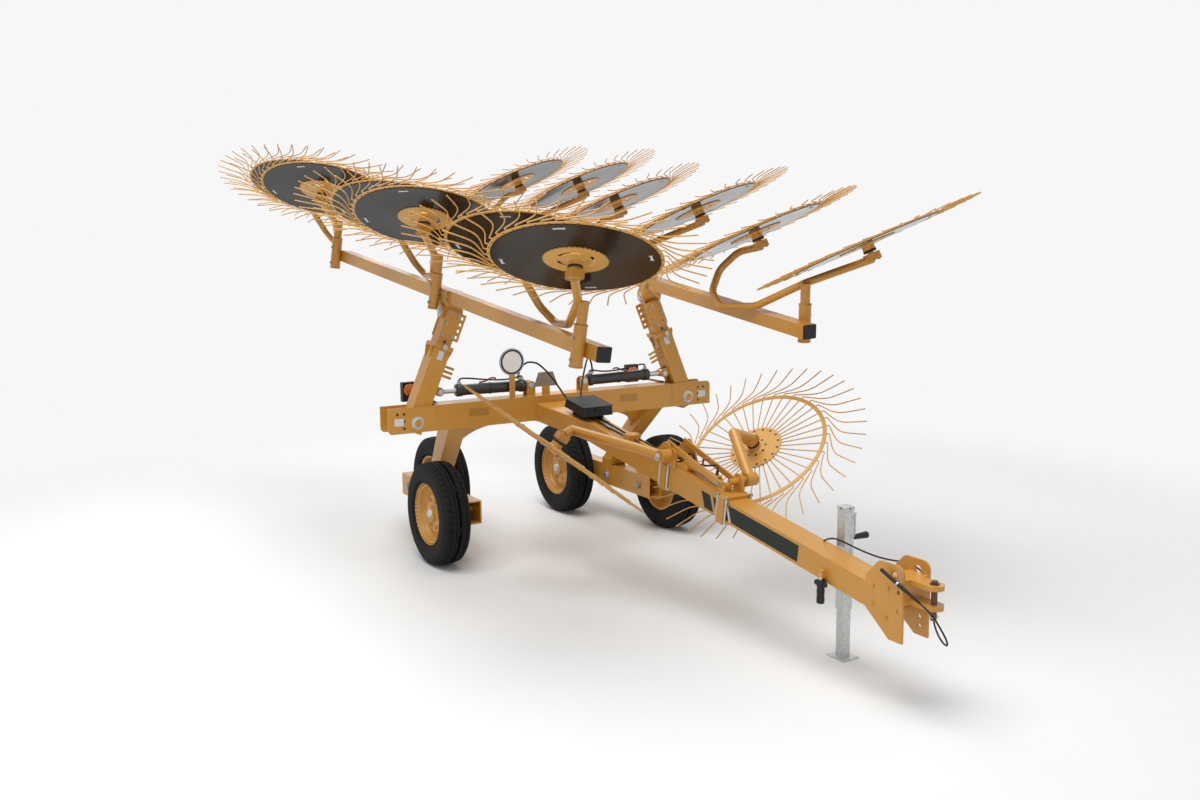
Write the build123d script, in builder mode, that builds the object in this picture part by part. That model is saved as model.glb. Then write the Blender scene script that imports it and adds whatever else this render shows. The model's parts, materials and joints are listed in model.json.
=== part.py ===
from build123d import *
import os
from math import cos, pi, radians, sin, tan

# A carted wheel rake in its transport fold: a sloping tongue, a cross frame on two walking
# beams with four road wheels, two folding masts that each carry a rake beam with three pairs
# of rake wheels, and two kicker wheels on a frame clamped to the tongue.
# Millimetres. X points forward to the hitch, Y to the machine's left and Z up. Every piece is
# drawn from the middle of the walking beams on the ground, and the whole machine is moved at
# the end so that the middle of its box on the ground is the origin.

os.makedirs("parts", exist_ok=True)

# Running clearances
shaft_clearance = 0.06
seat_clearance = 0.3
moving_clearance = 6

# Road wheels and walking beams
tyre_radius = 350
tyre_width = 200
tyre_shoulder = 46
bead_radius = 205
rim_width = 150
rim_wall = 8
rim_disc_thickness = 10
rim_disc_inset = 20
wheel_hub_radius = 52
wheel_hub_length = 130
spindle_radius = 22
axle_spread = 884
walking_beam_y = 733
wheel_offset = 203
walking_beam_width = 110
walking_beam_height = 160
walking_beam_wall = 10
walking_beam_overhang = 135
pivot_pin_radius = 22
pivot_cheek = 12

# Cross frame
frame_front_x = 490
frame_depth = 150
frame_bottom = 922
frame_height = 172
beam_end_y = 940
end_box_y = 1290
end_plate = 12
end_plate_drop = 8
fold_y = 1087
fold_z = 987
fold_pin_radius = 26
leg_top_x = 400
leg_top_y = 800
leg_top_size = (170, 130)
leg_foot_size = (120, 120)
leg_foot_gap = 10
leg_foot_height = 40
gusset_reach = 345
gusset_arc = 265

# Masts, leaning in over the machine in transport
mast_lean = 22.7
mast_x = 415
mast_width = 120
mast_depth = 125
mast_tail = 70
mast_boss_radius = 66
mast_outer_length = 545
mast_collar = 30
mast_collar_rim = 10
mast_inner_width = 104
mast_inner_depth = 106
mast_inner_length = 240
lug_along = 242
lug_out = 99
lug_plate = 12
lug_gap = 44
lug_radius = 30
pin_head = 8
slot_along = (116, 278)
slot_floor = 18
peg_along = (352, 384, 416)
peg_radius = 9
peg_reach = 150
bracket_start = 590
bracket_end = 780
bracket_out = (-58, 84)
bracket_plate = 10
bracket_hole = 11
collar_pin_radius = 12
collar_pin_tail = 20

# Rake beam on top of its mast: direction, roll and where it sits
beam_pitch = 7.0
beam_yaw = 1.96
beam_roll = 5.2
beam_size = 85
beam_length = 3632
beam_front_reach = 1860
beam_crossing = 892
beam_out = 49
beam_lift = {"right": -24, "left": 24}
cap_length = 30
saddle_plate = 12
saddle_length = 106
saddle_tube_radius = 45
saddle_tube_length = 150

# Pair arms: sockets along the beam, and one bent tube for each pair of rake wheels
socket_start = 135
socket_pitch = 1820
socket_count = 3
socket_radius = 38
socket_bore = 30.5
socket_below = 95
socket_above = 130
stem_radius = 30
stem_top = 266
arm_tube_radius = 24
arm_head_size = 74
arm_head_length = 46
arm_drop = 102
gusset_plate = 12
hub_front = (-250, 325, 519)
hub_rear = (615, 142, 492)
rake_wheel_tilt = (0.414, -0.195, 0.889)
arm_path = ((30, 96, 258), (330, -56, 78), (600, -137, 36), (748, -104, 108), (790, -16, 236), (718, 84, 356))
arm_bends = (60, 180, 110, 90, 110, 150)

# Rake wheels
rake_tip_radius = 702
rake_ring_radius = 450
ring_width = 18
ring_thickness = 5
hub_plate_radius = 174
hub_plate_thickness = 5
hub_ring_radius = 160
hub_ring_inner = 128
hub_radius = 38
hub_below = 60
hub_above = 26
hub_cap = 5
rake_spindle_radius = 17.5
tine_count = 40
tine_width = 7
tine_knee_radius = 470
tine_run_radius = 528
tine_run_angle = 17.5
tine_tip_angle = 24
hub_notch = 6
hub_slot_radius = 95
hub_slot_width = 20
guard_thickness = 3
guard_inner = 165
guard_outer = 441

# Hydraulic fold cylinders
cylinder_base_y = 215
cylinder_base_z = 1165
barrel_radius = 38
barrel_length = 560
barrel_eye_radius = 28
barrel_start = 40
cylinder_eye_width = 40
cylinder_pin_radius = 14
rod_radius = 19
rod_eye_radius = 27

# Tongue, hitch and jack
tongue_width = 155
tongue_height = 125
tongue_front = 3745
tongue_front_z = 482
tongue_rear_z = 980
hitch_plate = 12
hitch_plate_top = 690
hitch_plate_bottom = 318
hitch_plate_rear = 3650
hitch_plate_front = 3895
hitch_corner = 45
hitch_outline = (
    (hitch_plate_rear, hitch_plate_top - 90),
    (hitch_plate_rear + 85, hitch_plate_top),
    (hitch_plate_front, hitch_plate_top),
    (hitch_plate_front, hitch_plate_bottom),
    (hitch_plate_front - 85, hitch_plate_bottom),
    (hitch_plate_rear, hitch_plate_bottom + 120),
)
hitch_hole = 10
hitch_holes = {
    -1: ((3866, 562, hitch_hole), (3866, 470, hitch_hole), (3836, 640, 21)),
    1: ((3840, 411, hitch_hole), (3842, 365, hitch_hole), (3862, 626, hitch_hole), (3822, 640, 21)),
}
clevis_z = 565
ear_thickness = 24
ear_gap = 72
ear_width = 92
ear_tip = 4050
hitch_pin_x = 4004
hitch_pin_radius = 14
plug_rest = (3838, -113, 630.7)
hitch_pin_bottom = 452
hitch_pin_top = 640
jack_x = 3235
jack_y = 156
jack_size = 60
jack_wall = 4
jack_top = 815
jack_tube_bottom = 268
jack_leg_top = 560
jack_foot = (130, 110, 8)
crank_z = 770
crank_out = 40
crank_radius = 7
crank_arm = 125
crank_grip = 11
crank_grip_length = 85
stand_grip = (3341, -100, 371, 491)
stand_grip_radius = 19
stand_stud_radius = 9

# Free cable from the tongue's top to its plug on the near hitch plate, and the hoses
cable_diameter = 9
cable_route = (
    (3181, 58, 635.5),
    (3226, 57, 662),
    (3300, 57, 668),
    (3400, 62, 652),
    (3500, 72, 638),
    (3595, 88, 632),
    (3685, 102, 640),
    (3775, 106, 641),
    (3850, 106, 612),
    (3906, 102, 562),
    (3922, 84, 498),
    (3938, 66, 436),
    (3976, 50, 382),
    (4034, 30, 348),
    (4092, 4, 350),
    (4112, -26, 394),
    (4096, -54, 452),
    (4061, -76, 514),
)
plug_end = (4000, -86, 546)
plug_tip = (3782, -122, 660)
plug_radius = 9
plug_boot_radius = 6.5
plug_boot = 90
plug_post_radius = 5
plug_post_gap = 1.2
hose_diameter = 13
hose_route = (
    (415, 300, 1214),
    (418, 292, 1282),
    (452, 252, 1334),
    (510, 200, 1330),
    (562, 150, 1270),
    (606, 104, 1190),
    (650, 64, 1105),
    (706, 36, 1043),
    (790, 24, 1012),
    (900, 22, 994),
    (1010, 24, 978),
    (1130, 26, 958),
    (1250, 22, 939),
    (1387, 20, 919),
)
hose_block = (60, 90, 44)

# Kicker wheels
kicker_hub = {"right": (1222, -466, 866), "left": (2074, 484, 902)}
kicker_tilt = {"right": (0.13, 0.6, 0.79), "left": (0.15, -0.62, 0.77)}
kicker_pivot = {"right": (1967, 905), "left": (2440, 818)}
kicker_arm_y = {"right": 125, "left": 150}
kicker_route = {"right": ((1150, -290, 960),), "left": ((2180, 230, 1040),)}
kicker_tube_radius = 32
kicker_sleeve = 70
kicker_sleeve_radius = 40
kicker_pin_radius = 18
kicker_clamps = (1900, 2480)
kicker_clamp_wall = 16
kicker_clamp_width = 60
kicker_lug = 16
kicker_lug_radius = 42

# Lamps, signs and the document box
lamp_x = -50
lamp_y = 928
lamp_z = 1120
lamp_size = (44, 104, 136)
lamp_strap = (110, 40, 8)
lamp_lens_radius = 42
lamp_lens_depth = 14
sign_disc = (466, -374, 1343)
sign_radius = 92
sign_stalk = 42
sign_plate = 5
emblem_place = (454, -105, 1204)
emblem_size = (192, 99)
emblem_slant = 68
emblem_stalk = 60
box_x = 850
box_size = (280, 230, 62)
box_foot = 14
box_lift = 40
box_corner = 16
box_taper = 10

pieces = {}


def keep(name, part):
    pieces[name] = part


def unit(vector):
    return Vector(*vector).normalized()


# Frames
side_sign = {"right": -1, "left": 1}


def mirrored(part, side):
    return part if side == "right" else part.mirror(Plane.XZ)


def mast_plane(along=0, out=0):
    lean = radians(mast_lean)
    y = -fold_y + along * sin(lean) + out * cos(lean)
    z = fold_z + along * cos(lean) - out * sin(lean)
    origin = (mast_x, y, z)
    return Plane(origin, x_dir=(1, 0, 0), z_dir=(0, sin(lean), cos(lean)))


beam_level = cos(radians(beam_pitch))
beam_dir = Vector(
    -beam_level * cos(radians(beam_yaw)),
    -beam_level * sin(radians(beam_yaw)),
    sin(radians(beam_pitch)),
)
beam_flat = (Vector(0, -1, 0) - beam_dir * beam_dir.dot(Vector(0, -1, 0))).normalized()
beam_rise_dir = beam_dir.cross(beam_flat).normalized()
beam_out_dir = (beam_flat * cos(radians(beam_roll)) + beam_rise_dir * sin(radians(beam_roll))).normalized()
beam_up_dir = beam_dir.cross(beam_out_dir).normalized()


def beam_plane(side, along=0, out=0, up=0):
    crossing = mast_plane(beam_crossing, -beam_out).origin + Vector(0, 0, beam_lift[side])
    front = crossing - beam_dir * beam_front_reach
    origin = front + beam_dir * along + beam_out_dir * out + beam_up_dir * up
    return Plane(origin, x_dir=beam_dir, z_dir=beam_up_dir)


def in_beam(side, point):
    return beam_plane(side, *point).origin


tilt_along, tilt_out, tilt_up = rake_wheel_tilt
wheel_normal = (beam_dir * tilt_along + beam_out_dir * tilt_out + beam_up_dir * tilt_up).normalized()


def wheel_plane(side, number):
    pair, second = divmod(number - 1, 2)
    place = hub_rear if second else hub_front
    centre = in_beam(side, (socket_start + pair * socket_pitch + place[0], place[1], place[2]))
    return Plane(centre, x_dir=wheel_normal.cross(Vector(0, 1, 0)), z_dir=wheel_normal)


# Rake wheel, its ring plane at z = 0 and its arm side below
run_angle = radians(tine_run_angle)
tip_angle = radians(tine_tip_angle)
with BuildPart() as tine:
    with BuildLine() as tine_path:
        Polyline(
            (hub_ring_inner + 8, 0, 0),
            (tine_knee_radius, 0, 0),
            (tine_run_radius * cos(run_angle), tine_run_radius * sin(run_angle), 0),
            (rake_tip_radius * cos(tip_angle), rake_tip_radius * sin(tip_angle), 0),
        )
    with BuildSketch(Plane(tine_path.line @ 0, z_dir=(1, 0, 0))):
        RegularPolygon(tine_width * 0.6, 3)
    sweep(transition=Transition.RIGHT)

tine_lift = ring_thickness / 2
guard_gap = ring_thickness / 2 + guard_thickness + 2 * seat_clearance

hub_slot = CenterArc((0, 0), hub_slot_radius, -32, 64)

with BuildPart() as rake_wheel:
    with BuildSketch(Plane.XY.offset(-ring_thickness / 2)):
        Circle(rake_ring_radius)
        Circle(rake_ring_radius - ring_width, mode=Mode.SUBTRACT)
    extrude(amount=ring_thickness)
    with BuildSketch(Plane.XY.offset(-guard_gap - hub_plate_thickness)):
        Circle(hub_plate_radius)
        Circle(hub_radius - 2, mode=Mode.SUBTRACT)
        with PolarLocations(hub_plate_radius, tine_count):
            RegularPolygon(hub_notch, 3, mode=Mode.SUBTRACT)
        with PolarLocations(0, 3):
            SlotArc(hub_slot, hub_slot_width, mode=Mode.SUBTRACT)
    extrude(amount=hub_plate_thickness)
    with BuildSketch(Plane.XY.offset(-guard_gap)):
        Circle(hub_ring_radius)
        Circle(hub_ring_inner, mode=Mode.SUBTRACT)
    extrude(amount=guard_thickness + 2 * seat_clearance + ring_thickness)
    with BuildSketch(Plane.XY.offset(-hub_below)):
        Circle(hub_radius)
    extrude(amount=hub_below + hub_above)
    with BuildSketch(Plane.XY.offset(-hub_below)):
        Circle(rake_spindle_radius + shaft_clearance)
    extrude(amount=hub_below + hub_above - hub_cap, mode=Mode.SUBTRACT)
    with Locations((0, 0, tine_lift)):
        with PolarLocations(0, tine_count):
            add(tine.part)

with BuildPart() as wind_guard:
    with BuildSketch(Plane.XY.offset(-ring_thickness / 2 - guard_thickness - seat_clearance)):
        Circle(guard_outer)
        Circle(guard_inner, mode=Mode.SUBTRACT)
    extrude(amount=guard_thickness)

rake_wheel_left = rake_wheel.part.mirror(Plane.YZ)
wheel_of = {"right": rake_wheel.part, "left": rake_wheel_left}


def left_plane(plane):
    origin = plane.origin
    normal = plane.z_dir
    across = plane.x_dir
    return Plane(
        (origin.X, -origin.Y, origin.Z),
        x_dir=(-across.X, across.Y, -across.Z),
        z_dir=(normal.X, -normal.Y, normal.Z),
    )


for side in side_sign:
    for number in range(1, 2 * socket_count + 1):
        place = wheel_plane(side, number)
        if side == "left":
            place = left_plane(place)
        keep(f"rake_wheel_{side}_{number}", wheel_of[side].moved(place.location))
        keep(f"wind_guard_{side}_{number}", wind_guard.part.moved(place.location))

# Road wheels, axis along Z before they are placed
with BuildPart() as tyre:
    with BuildSketch(Plane.XZ) as tyre_section:
        with Locations(((bead_radius + tyre_radius) / 2, 0)):
            Rectangle(tyre_radius - bead_radius, tyre_width)
        outer = tyre_section.vertices().group_by(Axis.X)[-1]
        fillet(outer, tyre_shoulder)
        inner = tyre_section.vertices().group_by(Axis.X)[0]
        fillet(inner, tyre_shoulder / 2)
    revolve(axis=Axis.Z)

with BuildPart() as rim:
    with BuildSketch():
        Circle(bead_radius - seat_clearance)
        Circle(bead_radius - seat_clearance - rim_wall, mode=Mode.SUBTRACT)
    extrude(amount=rim_width / 2, both=True)
    with BuildSketch(Plane.XY.offset(rim_disc_inset)):
        Circle(bead_radius - rim_wall)
    extrude(amount=rim_disc_thickness)
    with BuildSketch(Plane.XY.offset(-wheel_hub_length / 2)):
        Circle(wheel_hub_radius)
    extrude(amount=wheel_hub_length)
    with BuildSketch(Plane.XY.offset(-wheel_hub_length / 2)):
        Circle(spindle_radius + shaft_clearance)
    extrude(amount=wheel_hub_length - hub_cap, mode=Mode.SUBTRACT)

road_wheels = {
    "front_right": (axle_spread / 2, -walking_beam_y - wheel_offset, -1),
    "rear_right": (-axle_spread / 2, -walking_beam_y + wheel_offset, 1),
    "front_left": (axle_spread / 2, walking_beam_y + wheel_offset, 1),
    "rear_left": (-axle_spread / 2, walking_beam_y - wheel_offset, -1),
}
for name, (x, y, outward) in road_wheels.items():
    place = Plane((x, y, tyre_radius), x_dir=(1, 0, 0), z_dir=(0, outward, 0))
    keep(f"tyre_{name}", tyre.part.moved(place.location))
    keep(f"rim_{name}", rim.part.moved(place.location))

# Walking beams with their wheel spindles, one each side
with BuildPart() as walking_beams:
    for sign in (-1, 1):
        middle = sign * walking_beam_y
        length = axle_spread + 2 * walking_beam_overhang
        with Locations((0, middle, tyre_radius)):
            Box(length, walking_beam_width, walking_beam_height)
            Box(
                length,
                walking_beam_width - 2 * walking_beam_wall,
                walking_beam_height - 2 * walking_beam_wall,
                mode=Mode.SUBTRACT,
            )
        spindle_length = wheel_offset + (walking_beam_width + wheel_hub_length) / 2
        spindle_length -= hub_cap + moving_clearance
        for x, outward in ((axle_spread / 2, sign), (-axle_spread / 2, -sign)):
            start = Plane((x, middle - outward * walking_beam_width / 2, tyre_radius), z_dir=(0, outward, 0))
            with BuildSketch(start):
                Circle(spindle_radius)
            extrude(amount=spindle_length)
        with BuildSketch(Plane((0, middle - walking_beam_width / 2, tyre_radius), z_dir=(0, 1, 0))):
            Circle(pivot_pin_radius + seat_clearance)
        extrude(amount=walking_beam_width, mode=Mode.SUBTRACT)
keep("walking_beams", walking_beams.part)

# Axle legs from the cross frame down to the walking beam pivots
foot_bottom = tyre_radius + walking_beam_height / 2 + leg_foot_gap
with BuildPart() as axle_legs:
    for sign in (-1, 1):
        with BuildSketch(Plane.XY.offset(foot_bottom + leg_foot_height)):
            with Locations((0, sign * walking_beam_y)):
                Rectangle(*leg_foot_size)
        with BuildSketch(Plane.XY.offset(frame_bottom)):
            with Locations((leg_top_x, sign * leg_top_y)):
                Rectangle(*leg_top_size)
        loft(ruled=True)
        cheek_y = walking_beam_width / 2 + seat_clearance + pivot_cheek
        with Locations((0, sign * walking_beam_y, foot_bottom + leg_foot_height / 2)):
            Box(leg_foot_size[0], 2 * cheek_y, leg_foot_height)
        for edge in (-1, 1):
            y = sign * walking_beam_y + edge * (cheek_y - pivot_cheek / 2)
            with BuildSketch(Plane((0, y, 0), x_dir=(1, 0, 0), z_dir=(0, -1, 0))):
                with Locations((0, (foot_bottom + leg_foot_height / 2 + tyre_radius) / 2)):
                    Rectangle(leg_foot_size[0], foot_bottom + leg_foot_height / 2 - tyre_radius)
                with Locations((0, tyre_radius)):
                    Circle(leg_foot_size[0] / 2)
            extrude(amount=pivot_cheek / 2, both=True)
        with BuildSketch(Plane((0, sign * walking_beam_y, tyre_radius), z_dir=(0, 1, 0))):
            Circle(pivot_pin_radius)
        extrude(amount=cheek_y, both=True)
    leg_dir = Vector(leg_top_x, 0, frame_bottom - foot_bottom - leg_foot_height).normalized()
    gusset_face = Plane((leg_top_x, 0, frame_bottom), x_dir=(0, 1, 0), z_dir=Vector(0, 1, 0).cross(leg_dir))
    for sign in (-1, 1):
        arc_y = leg_top_y - gusset_reach
        corners = [
            (sign * leg_top_y, gusset_plate),
            (sign * arc_y, gusset_plate),
            (sign * arc_y, -gusset_plate),
            (sign * (arc_y + gusset_arc), -gusset_plate - gusset_arc),
            (sign * leg_top_y, -gusset_plate - gusset_arc),
        ]
        with BuildSketch(gusset_face):
            Polygon(*corners, align=None)
            with Locations((sign * arc_y, -gusset_plate - gusset_arc)):
                Circle(gusset_arc, mode=Mode.SUBTRACT)
        extrude(amount=gusset_plate / 2, both=True)
    with Locations((leg_top_x, 0, frame_bottom + gusset_arc)):
        Box(4 * gusset_arc, 4 * end_box_y, 2 * gusset_arc, mode=Mode.SUBTRACT)
keep("axle_legs", axle_legs.part)

# Cross frame with its end boxes, fold pins and cylinder lugs
frame_mid_x = frame_front_x - frame_depth / 2
frame_mid_z = frame_bottom + frame_height / 2
with BuildPart() as cross_frame:
    with Locations((frame_mid_x, 0, frame_mid_z)):
        Box(frame_depth, 2 * beam_end_y, frame_height)
    for sign in (-1, 1):
        for x in (frame_front_x - end_plate / 2, frame_front_x - frame_depth + end_plate / 2):
            with BuildSketch(Plane.YZ.offset(x)) as end_face:
                with Locations((sign * (beam_end_y + end_box_y) / 2 - sign * 20, frame_mid_z)):
                    Rectangle(end_box_y - beam_end_y + 40, frame_height)
                tip = end_face.vertices().group_by(Axis.Y)[0 if sign < 0 else -1]
                fillet(tip, 30)
            extrude(amount=end_plate / 2, both=True)
        with BuildSketch(Plane.YZ.offset(frame_front_x - frame_depth - 8)):
            with Locations((sign * fold_y, fold_z)):
                Circle(fold_pin_radius)
        extrude(amount=frame_depth + 24)
        for edge in (-1, 1):
            x = mast_x + edge * (cylinder_eye_width / 2 + seat_clearance + lug_plate / 2)
            with BuildSketch(Plane.YZ.offset(x)):
                with Locations((sign * cylinder_base_y, cylinder_base_z)):
                    Circle(barrel_eye_radius + 4)
                with Locations((sign * cylinder_base_y, (cylinder_base_z + frame_bottom + frame_height) / 2)):
                    Rectangle(2 * barrel_eye_radius + 8, cylinder_base_z - frame_bottom - frame_height)
            extrude(amount=lug_plate / 2, both=True)
        with BuildSketch(Plane.YZ.offset(mast_x)):
            with Locations((sign * cylinder_base_y, cylinder_base_z)):
                Circle(cylinder_pin_radius)
        extrude(amount=cylinder_eye_width / 2 + lug_plate, both=True)
keep("cross_frame", cross_frame.part)


# Masts: outer tube on the fold pin, inner tube and cylinder lug
def build_mast(side):
    base = mast_plane()
    with BuildPart() as mast:
        with BuildSketch(base.offset(-mast_tail)):
            Rectangle(mast_depth, mast_width)
        extrude(amount=mast_outer_length + mast_tail)
        with BuildSketch(base.offset(mast_outer_length - mast_collar)):
            Rectangle(mast_depth + 2 * mast_collar_rim, mast_width + 2 * mast_collar_rim)
        extrude(amount=mast_collar)
        with BuildSketch(base.offset(mast_outer_length)):
            Rectangle(mast_inner_depth, mast_inner_width)
        extrude(amount=mast_inner_length)
        for edge in (-1, 1):
            start = edge * (lug_gap + lug_plate) / 2
            with BuildSketch(Plane(base.origin + Vector(start, 0, 0), x_dir=base.y_dir, z_dir=(1, 0, 0))):
                with Locations((lug_out, lug_along)):
                    Circle(lug_radius)
                with Locations(((lug_out + mast_width / 2) / 2, lug_along)):
                    Rectangle(lug_out - mast_width / 2 + 2, 2 * lug_radius)
            extrude(amount=lug_plate / 2, both=True)
            pin_start = mast_plane(lug_along, lug_out).origin + Vector(start, 0, 0)
            with BuildSketch(Plane(pin_start, z_dir=(edge, 0, 0))):
                Circle(cylinder_pin_radius)
            extrude(amount=lug_plate / 2 + pin_head)
        with BuildSketch(mast_plane(slot_along[0])):
            with Locations((0, (slot_floor + mast_width) / 2)):
                Rectangle(lug_gap, mast_width - slot_floor)
        extrude(amount=slot_along[1] - slot_along[0], mode=Mode.SUBTRACT)
        with BuildSketch(Plane(base.origin, x_dir=base.y_dir, z_dir=(1, 0, 0))):
            Circle(fold_pin_radius + shaft_clearance)
        extrude(amount=mast_depth, both=True, mode=Mode.SUBTRACT)
        for x, along in enumerate(peg_along):
            peg = Plane(mast_plane(along, mast_width / 2 - 1).origin, z_dir=base.y_dir)
            with BuildSketch(peg):
                Circle(peg_radius)
            extrude(amount=peg_reach - mast_width / 2)
        with BuildSketch(Plane(mast_plane(mast_outer_length - mast_collar / 2).origin, z_dir=(1, 0, 0))):
            Circle(collar_pin_radius)
        extrude(amount=mast_depth / 2 + mast_collar_rim + collar_pin_tail, both=True)
        for edge in (-1, 1):
            start = edge * (mast_inner_depth + bracket_plate) / 2
            with BuildSketch(Plane(base.origin + Vector(start, 0, 0), x_dir=base.y_dir, z_dir=(1, 0, 0))):
                middle = ((bracket_out[0] + bracket_out[1]) / 2, (bracket_start + bracket_end) / 2)
                with Locations(middle):
                    Rectangle(bracket_out[1] - bracket_out[0], bracket_end - bracket_start)
                with Locations(((bracket_out[1] - 2 * bracket_hole), middle[1])):
                    with GridLocations(1, 4 * bracket_hole, 1, 4):
                        Circle(bracket_hole, mode=Mode.SUBTRACT)
            extrude(amount=bracket_plate / 2, both=True)
        saddle = beam_plane(side, beam_front_reach, 0, -beam_size / 2 - saddle_plate - saddle_tube_radius)
        with BuildSketch(Plane(saddle.origin, x_dir=saddle.x_dir, z_dir=saddle.y_dir)):
            Circle(saddle_tube_radius)
        extrude(amount=saddle_tube_length / 2, both=True)
        cheek_out = beam_size / 2 + seat_clearance + saddle_plate / 2
        with BuildSketch(saddle):
            Rectangle(saddle_length, beam_size + 2 * seat_clearance + 2 * saddle_plate)
        extrude(amount=saddle_tube_radius + saddle_plate - seat_clearance)
        for edge in (-1, 1):
            cheek_start = beam_plane(side, beam_front_reach, edge * cheek_out, -beam_size / 2 - saddle_plate)
            with BuildSketch(cheek_start):
                Rectangle(saddle_length, saddle_plate)
            extrude(amount=beam_size + saddle_plate)
    return mast.part


# Rake beam with its sockets
def build_rake_beam(side):
    with BuildPart() as rake_beam:
        start = beam_plane(side)
        with BuildSketch(Plane(start.origin, x_dir=start.y_dir, z_dir=start.x_dir)):
            Rectangle(beam_size, beam_size)
        extrude(amount=beam_length)
        for pair in range(socket_count):
            along = socket_start + pair * socket_pitch
            out = beam_size / 2 + socket_radius - 4
            with BuildSketch(beam_plane(side, along, out, -socket_below)):
                Circle(socket_radius)
            extrude(amount=socket_below + socket_above)
            with BuildSketch(beam_plane(side, along, out, -socket_below)):
                Circle(socket_bore)
            extrude(amount=socket_below + socket_above, mode=Mode.SUBTRACT)
            if along > beam_length:
                tail = beam_plane(side, beam_length, 0, 0)
                with BuildSketch(Plane(tail.origin, x_dir=tail.y_dir, z_dir=tail.x_dir)):
                    Rectangle(beam_size, beam_size)
                extrude(amount=along - beam_length)
    return rake_beam.part


# Pair arms: a stem in each socket and a bent tube with a wheel head at both ends
def build_rake_arms(side):
    with BuildPart() as rake_arms:
        for pair in range(socket_count):
            along = socket_start + pair * socket_pitch
            out = beam_size / 2 + socket_radius - 4
            with BuildSketch(beam_plane(side, along, out, -socket_below + 10)):
                Circle(stem_radius)
            extrude(amount=socket_below - 10 + stem_top)
            heads = []
            for hub in (hub_front, hub_rear):
                centre = in_beam(side, (along + hub[0], hub[1], hub[2]))
                heads.append(centre - wheel_normal * arm_drop)
                head_start = centre - wheel_normal * (hub_below + moving_clearance)
                with BuildSketch(Plane(head_start, z_dir=wheel_normal)):
                    Circle(rake_spindle_radius)
                extrude(amount=hub_below + hub_above + moving_clearance - hub_cap - 4)
                head_plane = Plane(head_start, x_dir=wheel_normal.cross(beam_out_dir), z_dir=-wheel_normal)
                with BuildSketch(head_plane):
                    Rectangle(arm_head_size, arm_head_size)
                extrude(amount=arm_head_length)
            points = [heads[0]]
            points += [in_beam(side, (along + point[0], point[1], point[2])) for point in arm_path]
            points += [heads[1]]
            with BuildLine() as arm_line:
                FilletPolyline(*points, radius=list(arm_bends))
            with BuildSketch(Plane(arm_line.line @ 0, z_dir=arm_line.line % 0)):
                Circle(arm_tube_radius)
            sweep()
    return rake_arms.part


for side in side_sign:
    keep(f"mast_{side}", mirrored(build_mast(side), side))
    keep(f"rake_beam_{side}", mirrored(build_rake_beam(side), side))
    keep(f"rake_arms_{side}", mirrored(build_rake_arms(side), side))

# Fold cylinders, retracted in transport
lug_plane = mast_plane(lug_along, lug_out)
rod_eye = Vector(mast_x, lug_plane.origin.Y, lug_plane.origin.Z)
base_pin = Vector(mast_x, -cylinder_base_y, cylinder_base_z)
cylinder_dir = (rod_eye - base_pin).normalized()
cylinder_reach = (rod_eye - base_pin).length
cylinder_plane = Plane(base_pin, x_dir=(1, 0, 0), z_dir=cylinder_dir)

with BuildPart() as barrel:
    with BuildSketch(cylinder_plane.offset(barrel_start)):
        Circle(barrel_radius)
    extrude(amount=barrel_length - barrel_start)
    with BuildSketch(cylinder_plane):
        Rectangle(cylinder_eye_width, 1.6 * barrel_eye_radius)
    extrude(amount=barrel_start)
    with BuildSketch(Plane(base_pin, z_dir=(1, 0, 0))):
        Circle(barrel_eye_radius)
    extrude(amount=cylinder_eye_width / 2, both=True)
    with BuildSketch(Plane(base_pin, z_dir=(1, 0, 0))):
        Circle(cylinder_pin_radius + shaft_clearance)
    extrude(amount=cylinder_eye_width, both=True, mode=Mode.SUBTRACT)
    with BuildSketch(cylinder_plane.offset(barrel_start + 30)):
        Circle(rod_radius + shaft_clearance)
    extrude(amount=barrel_length, mode=Mode.SUBTRACT)

with BuildPart() as rod:
    with BuildSketch(cylinder_plane.offset(barrel_start + 50)):
        Circle(rod_radius)
    extrude(amount=cylinder_reach - barrel_start - 50 - rod_eye_radius + 8)
    with BuildSketch(Plane(rod_eye, z_dir=(1, 0, 0))):
        Circle(rod_eye_radius)
    extrude(amount=cylinder_eye_width / 2, both=True)
    with BuildSketch(Plane(rod_eye, z_dir=(1, 0, 0))):
        Circle(cylinder_pin_radius + shaft_clearance)
    extrude(amount=cylinder_eye_width, both=True, mode=Mode.SUBTRACT)

for side in side_sign:
    keep(f"fold_cylinder_{side}", mirrored(barrel.part, side))
    keep(f"fold_rod_{side}", mirrored(rod.part, side))

# Tongue
tongue_start = Vector(frame_front_x, 0, tongue_rear_z)
tongue_end = Vector(tongue_front, 0, tongue_front_z)
tongue_dir = (tongue_end - tongue_start).normalized()
tongue_length = (tongue_end - tongue_start).length
tongue_up = Vector(-tongue_dir.Z, 0, tongue_dir.X)


def on_tongue(x, up=0, out=0):
    along = (x - tongue_start.X) / tongue_dir.X
    return tongue_start + tongue_dir * along + tongue_up * up + Vector(0, out, 0)


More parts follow.
